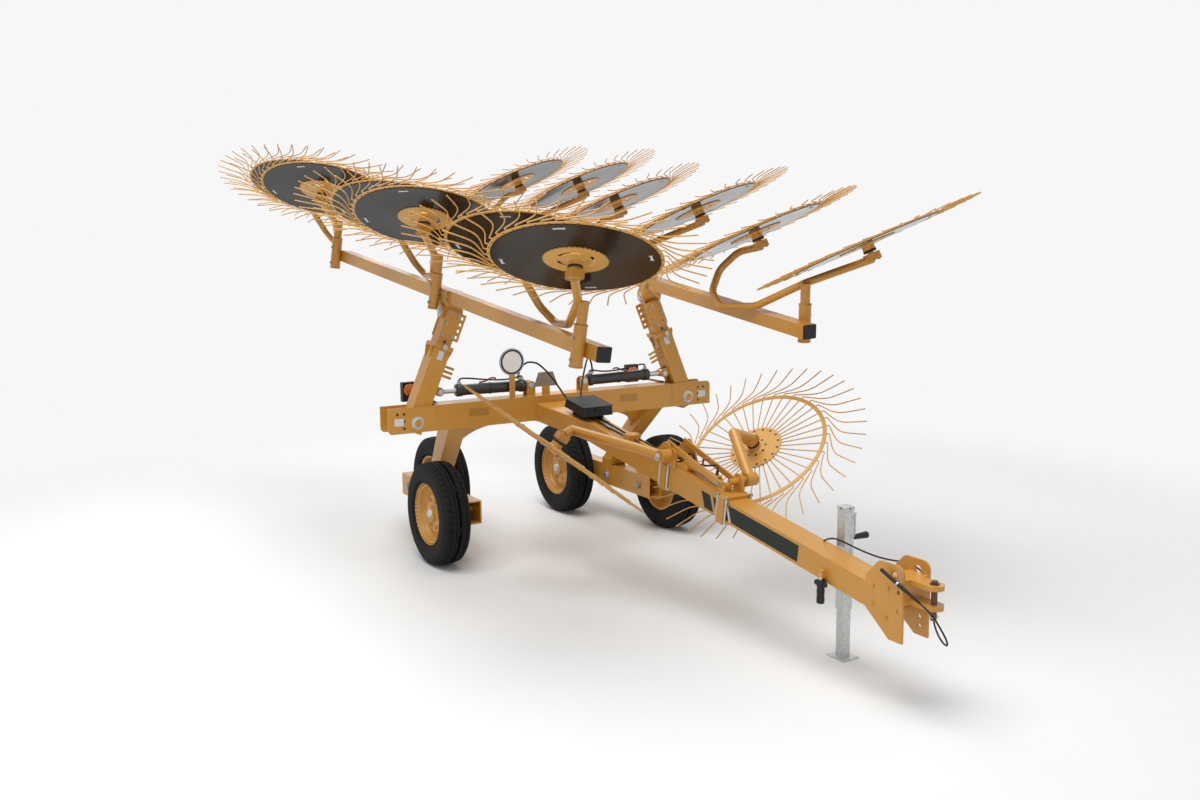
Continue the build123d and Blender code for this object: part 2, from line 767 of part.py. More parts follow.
with BuildPart() as tongue:
    with BuildSketch(Plane(tongue_start, x_dir=(0, 1, 0), z_dir=tongue_dir)):
        Rectangle(tongue_width, tongue_height)
    extrude(amount=tongue_length)
    split(bisect_by=Plane.YZ.offset(frame_front_x + seat_clearance), keep=Keep.TOP)
    hose_end = Vector(*hose_route[-1])
    block_along = (hose_end - tongue_start).dot(tongue_dir) + seat_clearance + hose_block[0] / 2
    block_place = tongue_start + tongue_dir * block_along
    with BuildSketch(Plane(block_place, x_dir=(0, 1, 0), z_dir=tongue_dir)):
        with Locations((0, (tongue_height + hose_block[2]) / 2 - gusset_plate / 2)):
            Rectangle(hose_block[1], hose_block[2] + gusset_plate)
    extrude(amount=hose_block[0] / 2, both=True)
    x, y, grip_bottom, grip_top = stand_grip
    with BuildSketch(Plane.XY.offset(grip_bottom)):
        with Locations((x, y)):
            Circle(stand_grip_radius)
    extrude(amount=grip_top - grip_bottom)
    with BuildSketch(Plane.XY.offset(grip_bottom)):
        with Locations((x, y)):
            Circle(stand_stud_radius)
    extrude(amount=on_tongue(x).Z - grip_bottom)
    with Locations((x, (y - tongue_width / 2) / 2, on_tongue(x).Z - stand_grip_radius)):
        Box(2 * stand_grip_radius, -y - tongue_width / 2 + 2 * stand_stud_radius, 2 * stand_grip_radius)
keep("tongue", tongue.part)


# Hitch head: side plates, clevis body, two ears and the pin
with BuildPart() as hitch_head:
    plate_y = tongue_width / 2 + seat_clearance + hitch_plate / 2
    for sign in (-1, 1):
        with BuildSketch(Plane((0, sign * plate_y, 0), x_dir=(1, 0, 0), z_dir=(0, -1, 0))) as hitch_sketch:
            Polygon(*hitch_outline, align=None)
            fillet(hitch_sketch.vertices().group_by(Axis.Y)[-1], hitch_corner)
            for x, z, radius in hitch_holes[sign]:
                with Locations((x, z)):
                    Circle(radius, mode=Mode.SUBTRACT)
        extrude(amount=hitch_plate / 2, both=True)
    body_width = tongue_width + 2 * seat_clearance
    body_rear = tongue_front + 20
    with Locations(((body_rear + hitch_plate_front) / 2, 0, clevis_z)):
        Box(hitch_plate_front - body_rear, body_width, ear_gap + 2 * ear_thickness)
    for sign in (-1, 1):
        z = clevis_z + sign * (ear_gap + ear_thickness) / 2
        with BuildSketch(Plane.XY.offset(z)):
            with Locations(((hitch_plate_front - 20 + hitch_pin_x) / 2, 0)):
                Rectangle(hitch_pin_x - hitch_plate_front + 20, ear_width)
            with Locations((hitch_pin_x, 0)):
                Circle(ear_tip - hitch_pin_x)
        extrude(amount=ear_thickness / 2, both=True)
    with BuildSketch(Plane.XY.offset(hitch_pin_bottom)):
        with Locations((hitch_pin_x, 0)):
            Circle(hitch_pin_radius)
    extrude(amount=hitch_pin_top - hitch_pin_bottom)
    with BuildSketch(Plane((plug_rest[0], -plate_y, plug_rest[2]), z_dir=(0, -1, 0))):
        Circle(plug_post_radius)
    extrude(amount=-plug_rest[1] - plug_radius - plug_post_gap - plate_y)
keep("hitch_head", hitch_head.part)

# Jack: a square tube bracketed to the tongue, and its inner leg with a foot plate
jack_bore = jack_size - 2 * jack_wall
jack_leg_size = jack_bore - 2 * seat_clearance
with BuildPart() as jack_tube:
    with Locations((jack_x, jack_y, (jack_top + jack_tube_bottom) / 2)):
        Box(jack_size, jack_size, jack_top - jack_tube_bottom)
        Box(jack_bore, jack_bore, jack_top - jack_tube_bottom - 2 * jack_wall, mode=Mode.SUBTRACT)
    with Locations((jack_x, jack_y, jack_tube_bottom)):
        Box(jack_bore, jack_bore, 4 * jack_wall, mode=Mode.SUBTRACT)
    crank_y = jack_y + jack_size / 2
    with BuildSketch(Plane((jack_x, crank_y, crank_z), z_dir=(0, 1, 0))):
        Circle(crank_radius)
    extrude(amount=crank_out)
    with BuildSketch(Plane((jack_x, crank_y + crank_out - crank_radius, crank_z), z_dir=(0, 0, -1))):
        Circle(crank_radius)
    extrude(amount=crank_arm)
    crank_end = (jack_x, crank_y + crank_out - crank_radius, crank_z - crank_arm)
    with BuildSketch(Plane(crank_end, z_dir=(0, 1, 0))):
        Circle(crank_grip)
    extrude(amount=crank_grip_length, taper=-4)
    bracket = on_tongue(jack_x)
    bracket_y = (tongue_width / 2 + seat_clearance + jack_y - jack_size / 2) / 2
    with Locations((jack_x, bracket_y, bracket.Z)):
        Box(jack_size, jack_y - jack_size / 2 - tongue_width / 2 - seat_clearance, 90)
keep("jack_tube", jack_tube.part)

with BuildPart() as jack_leg:
    with Locations((jack_x, jack_y, (jack_leg_top + jack_foot[2]) / 2)):
        Box(jack_leg_size, jack_leg_size, jack_leg_top - jack_foot[2])
    with Locations((jack_x, jack_y, jack_foot[2] / 2)):
        Box(*jack_foot)
keep("jack_leg", jack_leg.part)

def build_cord(name, route, diameter):
    points = [Vector(*point) for point in route]
    radii = []
    for before, corner, after in zip(points, points[1:], points[2:]):
        shorter = min((corner - before).length, (after - corner).length)
        turn = radians((corner - before).get_angle(after - corner))
        radii.append(0.45 * shorter / tan(turn / 2))
    with BuildPart() as cord:
        with BuildLine() as cord_line:
            FilletPolyline(*points, radius=radii)
        with BuildSketch(Plane(cord_line.line @ 0, z_dir=cord_line.line % 0)):
            Circle(diameter / 2)
        sweep()
    length = sum(edge.length for edge in cord_line.edges())
    expected = length * pi * diameter**2 / 4
    print(name, "radii", [round(radius) for radius in radii], "length", round(length, 1))
    print(name, "volume ratio", round(cord.part.volume / expected, 4))
    return cord.part


keep("cable", build_cord("cable", (*cable_route, plug_end), cable_diameter))

plug_dir = Vector(*plug_tip) - Vector(*plug_end)
with BuildPart() as cable_plug:
    with BuildSketch(Plane(plug_end, z_dir=plug_dir).offset(seat_clearance)):
        Circle(cable_diameter / 2 + 1)
    with BuildSketch(Plane(plug_end, z_dir=plug_dir).offset(plug_boot)):
        Circle(plug_boot_radius)
    loft()
    with BuildSketch(Plane(plug_end, z_dir=plug_dir).offset(plug_boot)):
        Circle(plug_radius)
    extrude(amount=plug_dir.length - plug_boot)
keep("cable_plug", cable_plug.part)

hoses = []
for side, sign in side_sign.items():
    route = [(x, sign * y, z) for x, y, z in hose_route]
    hoses.append(build_cord(f"hose_{side}", route, hose_diameter))
keep("hydraulic_hoses", Compound(children=hoses))

# Kicker wheels: a trailing arm on the right, a short arm on the left, both on cross pivots
def kicker_normal(side):
    return -unit(kicker_tilt[side])


def kicker_head(side):
    return Vector(*kicker_hub[side]) - kicker_normal(side) * arm_drop


for side in side_sign:
    place = Plane(Vector(*kicker_hub[side]), z_dir=kicker_normal(side))
    other = "left" if side == "right" else "right"
    keep(f"kicker_wheel_{side}", wheel_of[other].moved(place.location))


def pivot_sketch(side, y):
    x, z = kicker_pivot[side]
    return Plane((x, y, z), z_dir=(0, 1, 0))


tongue_room = tongue_width + 2 * seat_clearance
with BuildPart() as kicker_mount:
    for x in kicker_clamps:
        with BuildSketch(Plane(on_tongue(x), x_dir=(0, 1, 0), z_dir=tongue_dir)):
            Rectangle(tongue_width + 2 * kicker_clamp_wall, tongue_height + 2 * kicker_clamp_wall)
            Rectangle(tongue_room, tongue_height + 2 * seat_clearance, mode=Mode.SUBTRACT)
        extrude(amount=kicker_clamp_width / 2, both=True)
    base_start = on_tongue(kicker_clamps[0], tongue_height / 2 + seat_clearance)
    base_end = on_tongue(kicker_clamps[1], tongue_height / 2 + seat_clearance)
    with BuildSketch(Plane(base_start, x_dir=(0, 1, 0), z_dir=tongue_dir)):
        with Locations((0, kicker_clamp_wall / 2)):
            Rectangle(tongue_width, kicker_clamp_wall - 2 * seat_clearance)
    extrude(amount=(base_end - base_start).length)
    for side, sign in side_sign.items():
        x, z = kicker_pivot[side]
        top = on_tongue(x, tongue_height / 2 + seat_clearance)
        inner_y = tongue_width / 2 - kicker_lug
        lug_y = sign * (inner_y + kicker_lug / 2)
        with BuildSketch(Plane((0, lug_y, 0), x_dir=(1, 0, 0), z_dir=(0, -1, 0))):
            with Locations((x, z)):
                Circle(kicker_lug_radius)
            lug_foot = top.Z + kicker_clamp_wall / 2
            with Locations((x, (z + lug_foot) / 2)):
                Rectangle(2 * kicker_lug_radius, z - lug_foot)
        extrude(amount=kicker_lug / 2, both=True)
        with BuildSketch(pivot_sketch(side, 0)):
            Circle(kicker_pin_radius)
        extrude(amount=sign * (kicker_arm_y[side] + kicker_sleeve / 2 + 12))
keep("kicker_mount", kicker_mount.part)


def build_kicker_arm(side, route):
    sign = side_sign[side]
    normal = kicker_normal(side)
    hub = Vector(*kicker_hub[side])
    start = hub - normal * (hub_below + moving_clearance)
    x, z = kicker_pivot[side]
    with BuildPart() as arm:
        with BuildSketch(Plane(start, z_dir=normal)):
            Circle(rake_spindle_radius)
        extrude(amount=hub_below + hub_above + moving_clearance - hub_cap - 4)
        with BuildSketch(Plane(start, x_dir=(1, 0, 0), z_dir=-normal)):
            Rectangle(arm_head_size, arm_head_size)
        extrude(amount=arm_head_length)
        points = [Vector(x, sign * kicker_arm_y[side], z)]
        points += [Vector(*point) for point in route]
        points += [kicker_head(side)]
        for first, second in zip(points, points[1:]):
            with BuildSketch(Plane(first, z_dir=second - first)):
                Circle(kicker_tube_radius)
            extrude(amount=(second - first).length)
        for point in points[1:-1]:
            with Locations(point):
                Sphere(kicker_tube_radius)
        with BuildSketch(pivot_sketch(side, sign * (kicker_arm_y[side] - kicker_sleeve / 2))):
            Circle(kicker_sleeve_radius)
        extrude(amount=sign * kicker_sleeve)
        with BuildSketch(pivot_sketch(side, sign * (kicker_arm_y[side] - kicker_sleeve))):
            Circle(kicker_pin_radius + shaft_clearance)
        extrude(amount=sign * 2 * kicker_sleeve, mode=Mode.SUBTRACT)
    return arm.part


for side in side_sign:
    keep(f"kicker_arm_{side}", build_kicker_arm(side, kicker_route[side]))

# Lamps on rearward straps, the blank round sign, the emblem plate and the document box
frame_top = frame_bottom + frame_height + seat_clearance
with BuildPart() as lamps:
    for sign in (-1, 1):
        with Locations((lamp_x, sign * lamp_y, lamp_z)):
            Box(*lamp_size)
        strap_front = frame_front_x - lamp_strap[0]
        with Locations(((lamp_x + strap_front) / 2, sign * lamp_y, frame_top + lamp_strap[2] / 2)):
            Box(strap_front - lamp_x, lamp_strap[1], lamp_strap[2])
        with BuildSketch(Plane.YZ.offset(lamp_x)):
            with Locations((sign * lamp_y, lamp_z)):
                Circle(lamp_lens_radius)
        extrude(amount=-lamp_size[0] / 2 - lamp_lens_depth)
keep("lamps", lamps.part)

with BuildPart() as warning_signs:
    for x, y, z, stalk in ((*sign_disc, sign_stalk), (*emblem_place, emblem_stalk)):
        with BuildSketch(Plane.YZ.offset(x)):
            with Locations((y, (z + frame_top) / 2)):
                Rectangle(stalk, z - frame_top)
            if x == sign_disc[0]:
                with Locations((y, z)):
                    Circle(sign_radius)
            else:
                with Locations((y, z)):
                    Trapezoid(emblem_size[0], emblem_size[1], emblem_slant)
        extrude(amount=sign_plate)
keep("warning_signs", warning_signs.part)

with BuildPart() as document_box:
    box_seat = Plane(on_tongue(box_x, tongue_height / 2 + seat_clearance), x_dir=tongue_dir, z_dir=tongue_up)
    with BuildSketch(box_seat):
        with GridLocations(1, tongue_width - box_foot, 1, 2):
            Rectangle(box_size[0] / 2, box_foot)
    extrude(amount=box_lift + 1)
    with BuildSketch(box_seat.offset(box_lift)):
        RectangleRounded(box_size[0], box_size[1], box_corner)
    extrude(amount=box_size[2], taper=box_taper)
keep("document_box", document_box.part)

# Move the machine so that the middle of its box, without the free cable, is the origin
free_cord = ("cable", "cable_plug")
solid_pieces = [part.moved(Location()) for name, part in pieces.items() if name not in free_cord]
whole = Compound(children=solid_pieces).bounding_box()
shift = Vector(-(whole.min.X + whole.max.X) / 2, -(whole.min.Y + whole.max.Y) / 2, -whole.min.Z)
for name, part in pieces.items():
    placed = part.moved(Location(shift))
    placed.label = name
    export_step(placed, f"parts/{name}.step")


def report(label, point):
    moved = point + shift
    print(label, round(moved.X, 4), round(moved.Y, 4), round(moved.Z, 4))


report("shift", Vector(0, 0, 0))
for side in side_sign:
    sign = side_sign[side]
    for number in range(1, 2 * socket_count + 1):
        place = wheel_plane(side, number)
        place = left_plane(place) if side == "left" else place
        report(f"rake_wheel_{side}_{number}", place.origin)
    report(f"mast_{side}", Vector(mast_x, sign * fold_y, fold_z))
    report(f"cylinder_base_{side}", Vector(mast_x, sign * cylinder_base_y, cylinder_base_z))
    report(f"rod_eye_{side}", Vector(mast_x, -sign * rod_eye.Y, rod_eye.Z))
    report(f"kicker_wheel_{side}", Vector(*kicker_hub[side]))
    report(f"kicker_pivot_{side}", Vector(kicker_pivot[side][0], 0, kicker_pivot[side][1]))
    print(f"kicker_normal_{side}", *kicker_normal(side))
for name, (x, y, outward) in road_wheels.items():
    report(f"axle_{name}", Vector(x, y, tyre_radius))
ear_bottom = clevis_z - ear_gap / 2 - ear_thickness
report("hitch_tail", Vector(hitch_pin_x, 0, hitch_pin_bottom))
print("hitch_tail_len", ear_bottom - hitch_pin_bottom, 0, 0)
report("hitch_jaw", Vector(hitch_pin_x, 0, clevis_z))
report("jack_foot", Vector(jack_x, jack_y, 0))
for x, z, radius in hitch_holes[1]:
    report("far_hole", Vector(x, tongue_width / 2 + seat_clearance + hitch_plate / 2, z))
jaw_front = hitch_pin_x - hitch_pin_radius - 2
report("jaw_box_low", Vector(hitch_plate_front + 2, -ear_width / 2 + 4, clevis_z - ear_gap / 2 + 2))
report("jaw_box_high", Vector(jaw_front, ear_width / 2 - 4, clevis_z + ear_gap / 2 - 2))
print("wheel_normal", wheel_normal.X, wheel_normal.Y, wheel_normal.Z)
print("size", whole.size)
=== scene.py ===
import json
from math import cos, pi, radians, sin

import bmesh
import bpy
from mathutils import Matrix, Vector


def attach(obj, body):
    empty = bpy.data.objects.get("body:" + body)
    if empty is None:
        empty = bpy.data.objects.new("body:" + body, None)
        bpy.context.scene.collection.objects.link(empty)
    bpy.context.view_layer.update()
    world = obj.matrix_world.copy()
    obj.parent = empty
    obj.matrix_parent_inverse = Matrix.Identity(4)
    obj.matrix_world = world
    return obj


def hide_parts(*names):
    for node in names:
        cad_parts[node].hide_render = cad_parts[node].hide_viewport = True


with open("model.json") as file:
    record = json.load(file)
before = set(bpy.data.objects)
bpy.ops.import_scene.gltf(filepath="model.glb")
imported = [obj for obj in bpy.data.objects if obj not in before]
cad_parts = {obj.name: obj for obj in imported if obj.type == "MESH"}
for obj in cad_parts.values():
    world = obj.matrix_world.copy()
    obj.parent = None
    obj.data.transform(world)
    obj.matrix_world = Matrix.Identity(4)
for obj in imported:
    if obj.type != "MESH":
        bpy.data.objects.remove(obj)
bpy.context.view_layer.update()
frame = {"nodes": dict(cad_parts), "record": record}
nodes = frame["nodes"]
jointOf = {joint["name"]: joint for joint in frame["record"]["behaviour"]["joints"]}
# Places below are millimetres from the middle of the walking beams; the row frame is shifted along X
shiftX = jointOf["spin_front_right"]["pos_m"][0] - 0.442
sides = {"right": -1, "left": 1}


def rowPoint(x, y, z):
    return Vector((x / 1000 + shiftX, y / 1000, z / 1000))


def placeAt(origin, zAxis, xAxis=(1, 0, 0)):
    zDir = Vector(zAxis).normalized()
    xDir = Vector(xAxis)
    xDir = (xDir - zDir * xDir.dot(zDir)).normalized()
    matrix = Matrix((xDir, zDir.cross(xDir), zDir)).transposed().to_4x4()
    matrix.translation = origin
    return matrix


# Three ways a small part can face: along the machine, across it, or up
def facingX(x, y, z, way=1):
    return placeAt(rowPoint(x, y, z), (way, 0, 0), (0, 1, 0))


def facingY(x, y, z, way=1):
    return placeAt(rowPoint(x, y, z), (0, way, 0), (1, 0, 0))


def facingUp(x, y, z):
    return placeAt(rowPoint(x, y, z), (0, 0, 1), (1, 0, 0))


# Camera, worked out from the photograph; roll is in radians
cameraView = {
    "place": (7783.3, -4061.4, 2286.0), "yaw": 149.02, "pitch": -8.44, "roll": -0.0072,
    "lens": 35.9, "sensor": 36, "farEnd": 200,
}


def addCamera():
    yaw, pitch, roll = radians(cameraView["yaw"]), radians(cameraView["pitch"]), cameraView["roll"]
    look = Vector((cos(pitch) * cos(yaw), cos(pitch) * sin(yaw), sin(pitch)))
    flat = look.cross(Vector((0, 0, 1))).normalized()
    rise = flat.cross(look)
    right = flat * cos(roll) + rise * sin(roll)
    up = rise * cos(roll) - flat * sin(roll)
    matrix = Matrix((right, up, -look)).transposed().to_4x4()
    matrix.translation = rowPoint(*cameraView["place"])
    cameraData = bpy.data.cameras.new("camera")
    cameraData.lens = cameraView["lens"]
    cameraData.sensor_width = cameraView["sensor"]
    cameraData.clip_end = cameraView["farEnd"]
    camera = bpy.data.objects.new("camera", cameraData)
    camera.matrix_world = matrix
    bpy.context.collection.objects.link(camera)
    bpy.context.scene.camera = camera


addCamera()
print("camera set")


# Materials
def toLinear(hexColour):
    channels = [int(hexColour[i : i + 2], 16) / 255 for i in (1, 3, 5)]
    return tuple(c / 12.92 if c <= 0.04045 else ((c + 0.055) / 1.055) ** 2.4 for c in channels) + (1,)


def addNode(tree, kind, settings=None, links=None):
    node = tree.nodes.new(kind)
    for key, value in (settings or {}).items():
        if key in node.inputs.keys():
            node.inputs[key].default_value = value
        else:
            setattr(node, key, value)
    for key, source in (links or {}).items():
        tree.links.new(source, node.inputs[key])
    return node


def startMaterial(name):
    material = bpy.data.materials.new(name)
    material.use_nodes = True
    tree = material.node_tree
    tree.nodes.clear()
    output = addNode(tree, "ShaderNodeOutputMaterial")
    coords = addNode(tree, "ShaderNodeTexCoord").outputs["Object"]
    return material, tree, output, coords


def finishMaterial(tree, output, shader):
    tree.links.new(shader.outputs[0], output.inputs["Surface"])


def blendColours(tree, amount, first, second):
    mix = addNode(tree, "ShaderNodeMix", {"data_type": "RGBA"}, {"Factor": amount})
    for socket, colour in ((6, first), (7, second)):
        if isinstance(colour, str):
            mix.inputs[socket].default_value = toLinear(colour)
        else:
            tree.links.new(colour, mix.inputs[socket])
    return mix.outputs[2]


# A pattern's scale is one over its size: 1000 / millimetres.
# Paint: two close tones in slow clouds, dry dust in patches about 160 mm wide, and the soft ripple of a sprayed
# coat. Real orange peel is 1 to 2 mm; it is drawn coarser, at 9 mm, so that it shows in a render of this size
def makePaint(name, base, shade, dust, roughness=0.36, coat=0.25, peelMm=9, dustMm=160, specular=0.5):
    material, tree, output, coords = startMaterial(name)
    cloud = addNode(tree, "ShaderNodeTexNoise", {"Scale": 1.6, "Detail": 3.0}, {"Vector": coords})
    tone = blendColours(tree, cloud.outputs["Fac"], shade, base)
    cloudy = {"Scale": 1000 / dustMm, "Detail": 8.0, "Roughness": 0.7}
    dustNoise = addNode(tree, "ShaderNodeTexNoise", cloudy, {"Vector": coords})
    patches = {"From Min": 0.56, "From Max": 0.78, "To Max": 0.3}
    dustAmount = addNode(tree, "ShaderNodeMapRange", patches, {"Value": dustNoise.outputs["Fac"]})
    dusty = blendColours(tree, dustAmount.outputs[0], tone, dust)
    peel = addNode(tree, "ShaderNodeTexNoise", {"Scale": 1000 / peelMm, "Detail": 2.0}, {"Vector": coords})
    bump = addNode(tree, "ShaderNodeBump", {"Strength": 0.12, "Distance": 0.0006}, {"Height": peel.outputs["Fac"]})
    sheen = {"To Min": roughness - 0.05, "To Max": roughness + 0.12}
    gloss = addNode(tree, "ShaderNodeMapRange", sheen, {"Value": dustNoise.outputs["Fac"]})
    shader = addNode(
        tree,
        "ShaderNodeBsdfPrincipled",
        {"IOR": 1.5, "Coat Weight": coat, "Coat Roughness": 0.18, "Specular IOR Level": specular},
        {"Base Color": dusty, "Roughness": gloss.outputs[0], "Normal": bump.outputs[0]},
    )
    finishMaterial(tree, output, shader)
    return material


# Rubber and moulded plastic: near black, greyed by road dust in patches of about 90 mm, with the grain of the
# mould. The real grain is under 1 mm; it is drawn coarser, at 2 to 4 mm
def makeRubber(name, base, dust, roughness=0.72, grainMm=4, dustAmount=0.35):
    material, tree, output, coords = startMaterial(name)
    cloud = addNode(tree, "ShaderNodeTexNoise", {"Scale": 11.0, "Detail": 6.0, "Roughness": 0.65}, {"Vector": coords})
    patches = {"From Min": 0.45, "From Max": 0.8, "To Max": dustAmount}
    amount = addNode(tree, "ShaderNodeMapRange", patches, {"Value": cloud.outputs["Fac"]})
    colour = blendColours(tree, amount.outputs[0], base, dust)
    grain = addNode(tree, "ShaderNodeTexNoise", {"Scale": 1000 / grainMm, "Detail": 3.0}, {"Vector": coords})
    bump = addNode(tree, "ShaderNodeBump", {"Strength": 0.2, "Distance": 0.0004}, {"Height": grain.outputs["Fac"]})
    shader = addNode(
        tree,
        "ShaderNodeBsdfPrincipled",
        {"IOR": 1.52, "Roughness": roughness, "Specular IOR Level": 0.32},
        {"Base Color": colour, "Normal": bump.outputs[0]},
    )
    finishMaterial(tree, output, shader)
    return material


# Zinc and bare steel: the spangle of a hot dip, each crystal of about 14 mm a little brighter or duller than the
# next. Plating and chrome have no crystals to see; there the cells only break up the tone
def makeZinc(name, bright, dull, spangleMm=14, roughness=0.38):
    material, tree, output, coords = startMaterial(name)
    spangle = addNode(tree, "ShaderNodeTexVoronoi", {"Scale": 1000 / spangleMm}, {"Vector": coords})
    tone = blendColours(tree, spangle.outputs["Distance"], bright, dull)
    sheen = {"From Max": 0.7, "To Min": roughness - 0.08, "To Max": roughness + 0.14}
    rough = addNode(tree, "ShaderNodeMapRange", sheen, {"Value": spangle.outputs["Distance"]})
    links = {"Base Color": tone, "Roughness": rough.outputs[0]}
    shader = addNode(tree, "ShaderNodeBsdfPrincipled", {"Metallic": 0.85}, links)
    finishMaterial(tree, output, shader)
    return material


# Lamp lens: acrylic with moulded prisms that break up the light
def makeLens(name, base, prismMm=6.25):
    material, tree, output, coords = startMaterial(name)
    facets = addNode(tree, "ShaderNodeTexVoronoi", {"Scale": 1000 / prismMm}, {"Vector": coords})
    bump = addNode(tree, "ShaderNodeBump", {"Strength": 0.5, "Distance": 0.001}, {"Height": facets.outputs["Distance"]})
    shader = addNode(
        tree,
        "ShaderNodeBsdfPrincipled",
        {"Base Color": toLinear(base), "IOR": 1.49, "Roughness": 0.12, "Coat Weight": 0.5, "Coat Roughness": 0.05},
        {"Normal": bump.outputs[0]},
    )
    finishMaterial(tree, output, shader)
    return material


# Powder coated steel frame, baked on: an even warm ochre with a soft low sheen
ochrePaint = makePaint("ochrePowderCoatedSteel", "#CC9136", "#C0872E", "#CFA768")
# Spring wire and hub plates, dip painted: a little paler and drier than the frame
tineSteel = makePaint("ochrePaintedSpringSteel", "#D3A050", "#C8923F", "#DDBB84", roughness=0.42, coat=0.1)
# Pressed rims, spray painted: smooth turned faces that catch a wide highlight
rimPaint = makePaint("ochrePaintedPressedSteel", "#D09A45", "#C58F3C", "#D9B680", roughness=0.4)
# Tread rubber, moulded in a steel mould: dead matt and almost black
tyreRubber = makeRubber("mouldedTyreRubber", "#070708", "#161514", roughness=0.82)
# Hose and lead, extruded: smoother, with a dull line of light along them
hoseRubber = makeRubber("extrudedHoseRubber", "#121213", "#2A2927", roughness=0.5, grainMm=2, dustAmount=0.15)
# Polypropylene of box, lamps, grips and end caps, moulded: dark grey with a leathery grain
blackMoulded = makeRubber("mouldedBlackPolypropylene", "#191A1B", "#2E2E2C", roughness=0.5, grainMm=3, dustAmount=0.2)
# Cylinder barrels, enamelled: black with a clear gloss on top. The same black also serves as painted shade in the dots
# drawn for holes
blackEnamelAndHoleShade = makePaint("blackEnamelAndPaintedHoleShade", "#141516", "#101112", "#2B2A28", roughness=0.3, coat=0.4)
# Polyethylene sheet of the wind guards, calendered: mirror black with slow waves in its reflections
guardSheet = makePaint(
    "blackGlossPolyethyleneSheet", "#0B0A0A", "#080808", "#151413", roughness=0.12, coat=0.0, peelMm=60, specular=0.28
)
# Jack and pins, hot dip galvanised: pale grey with a faint spangle
zincSteel = makeZinc("hotDipGalvanisedSteel", "#CDD0D0", "#B4B8B9")
# Bolts, zinc plated and passivated: warmer and duller than the dip
boltZinc = makeZinc("zincPlatedBoltSteel", "#BDB9A8", "#8E8B80", spangleMm=6)
# Piston rods, ground and chromed: bright, sharp reflections with almost no pattern
chromeRod = makeZinc("groundChromedRod", "#D5D7D8", "#C4C7C9", spangleMm=40, roughness=0.16)
# Hitch pin and rivets, oil browned: a dark warm metal
pinSteel = makeZinc("brownedPinSteel", "#7A5A48", "#5C4437", spangleMm=8, roughness=0.45)
# Sign sheet, stove enamelled, and cut vinyl labels: clean white, and a greyer flatter white
signWhite = makePaint("whiteEnamelledSheet", "#F4F4F1", "#ECECE8", "#DEDCD4", roughness=0.4, coat=0.1)
labelWhite = makePaint("whiteVinylLabel", "#D9DAD8", "#CFD1CF", "#C2BEB2", roughness=0.45, coat=0.1)
# Reflector film, weathered: faded to a flat taupe
emblemTaupe = makePaint("taupeFadedReflector", "#8D8272", "#82786A", "#9C9180", roughness=0.5, coat=0.0)
# Lamp lenses, moulded acrylic: saturated amber and red with a wet shine
amberLens = makeLens("amberAcrylicLens", "#D8701A")
tailLens = makeLens("redAcrylicLens", "#8E1712")
# Printed vinyl: a darker ochre film on the cross frame, and a green black stripe on the tongue
filmOchre = makePaint("ochreVinylFilm", "#AD7C2C", "#A37427", "#B98F4A", roughness=0.3, coat=0.1)
stripeDark = makePaint("darkVinylStripe", "#182620", "#14201B", "#26352E", roughness=0.42, coat=0.0, specular=0.3)
# Handles and wires with a dipped red coat: small spots of clear red
redPaint = makePaint("redDippedSteel", "#A51F1C", "#931A18", "#B3524A", roughness=0.35)
print("materials made")

# The slot named for each material, looked up when a call names none; the piece does not keep it
usualSlot = {
    ochrePaint: "ochre_paint", tineSteel: "ochre_paint", rimPaint: "ochre_paint", filmOchre: "ochre_paint",
    redPaint: "ochre_paint", emblemTaupe: "ochre_paint", tyreRubber: "tyre_rubber", hoseRubber: "black_rubber",
    blackMoulded: "black_plastic", blackEnamelAndHoleShade: "black_plastic", stripeDark: "black_plastic",
    guardSheet: "guard_black", zincSteel: "galvanised", boltZinc: "galvanised", pinSteel: "galvanised",
    labelWhite: "sign_white", amberLens: "lamp_housing", tailLens: "lamp_housing",
}
nodeFinish = {
    "tyre": tyreRubber, "rim": rimPaint, "wind_guard": guardSheet, "jack": zincSteel,
    "fold_cylinder": blackEnamelAndHoleShade, "fold_rod": chromeRod, "document_box": blackMoulded,
    "cable": hoseRubber, "hydraulic_hoses": hoseRubber, "lamps": blackMoulded,
    "warning_signs": signWhite, "rake_wheel": tineSteel, "kicker_wheel": tineSteel,
}
# Edge rounding in millimetres; the turned and replaced nodes get none
edgeSizes = {"usual": 2.5, "jack": 1.5, "lamps": 3, "document_box": 4, "warning_signs": 0.8}
plainNodes = ("hydraulic_hoses", "rake_wheel", "kicker_wheel", "tyre", "rim", "wind_guard", "fold")


def softenEdges(piece, millimetres, name="softEdges"):
    bevel = piece.modifiers.new(name, "BEVEL")
    bevel.width = millimetres / 1000
    bevel.segments = 2
    bevel.limit_method = "ANGLE"
    bevel.angle_limit = radians(40)
    return bevel


def dressNodes():
    for name, node in nodes.items():
        finish, edge = ochrePaint, edgeSizes["usual"]
        for start, material in nodeFinish.items():
            if name.startswith(start):
                finish = material
        node.data.materials.clear()
        node.data.materials.append(finish)
        node.data.set_sharp_from_angle(angle=radians(32))
        if name == "cable" or name.startswith(plainNodes):
            continue
        for start, millimetres in edgeSizes.items():
            if name.startswith(start):
                edge = millimetres
        softenEdges(node, edge).harden_normals = True


dressNodes()
print("CAD nodes dressed")


# Small builders
def addPiece(name, data, body="chassis", slotName=None, matrix=None):
    slotName = slotName or usualSlot[data.materials[0]]
    piece = bpy.data.objects.new(name, data)
    bpy.context.collection.objects.link(piece)
    if matrix is not None:
        piece.matrix_world = matrix
    bpy.context.view_layer.update()
    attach(piece, body)
    return piece


def joinShapes(shapes):
    vertices, faces = [], []
    for more, moreFaces in shapes:
        start = len(vertices)
        vertices += more
        faces += [[start + i for i in face] for face in moreFaces]
    return vertices, faces


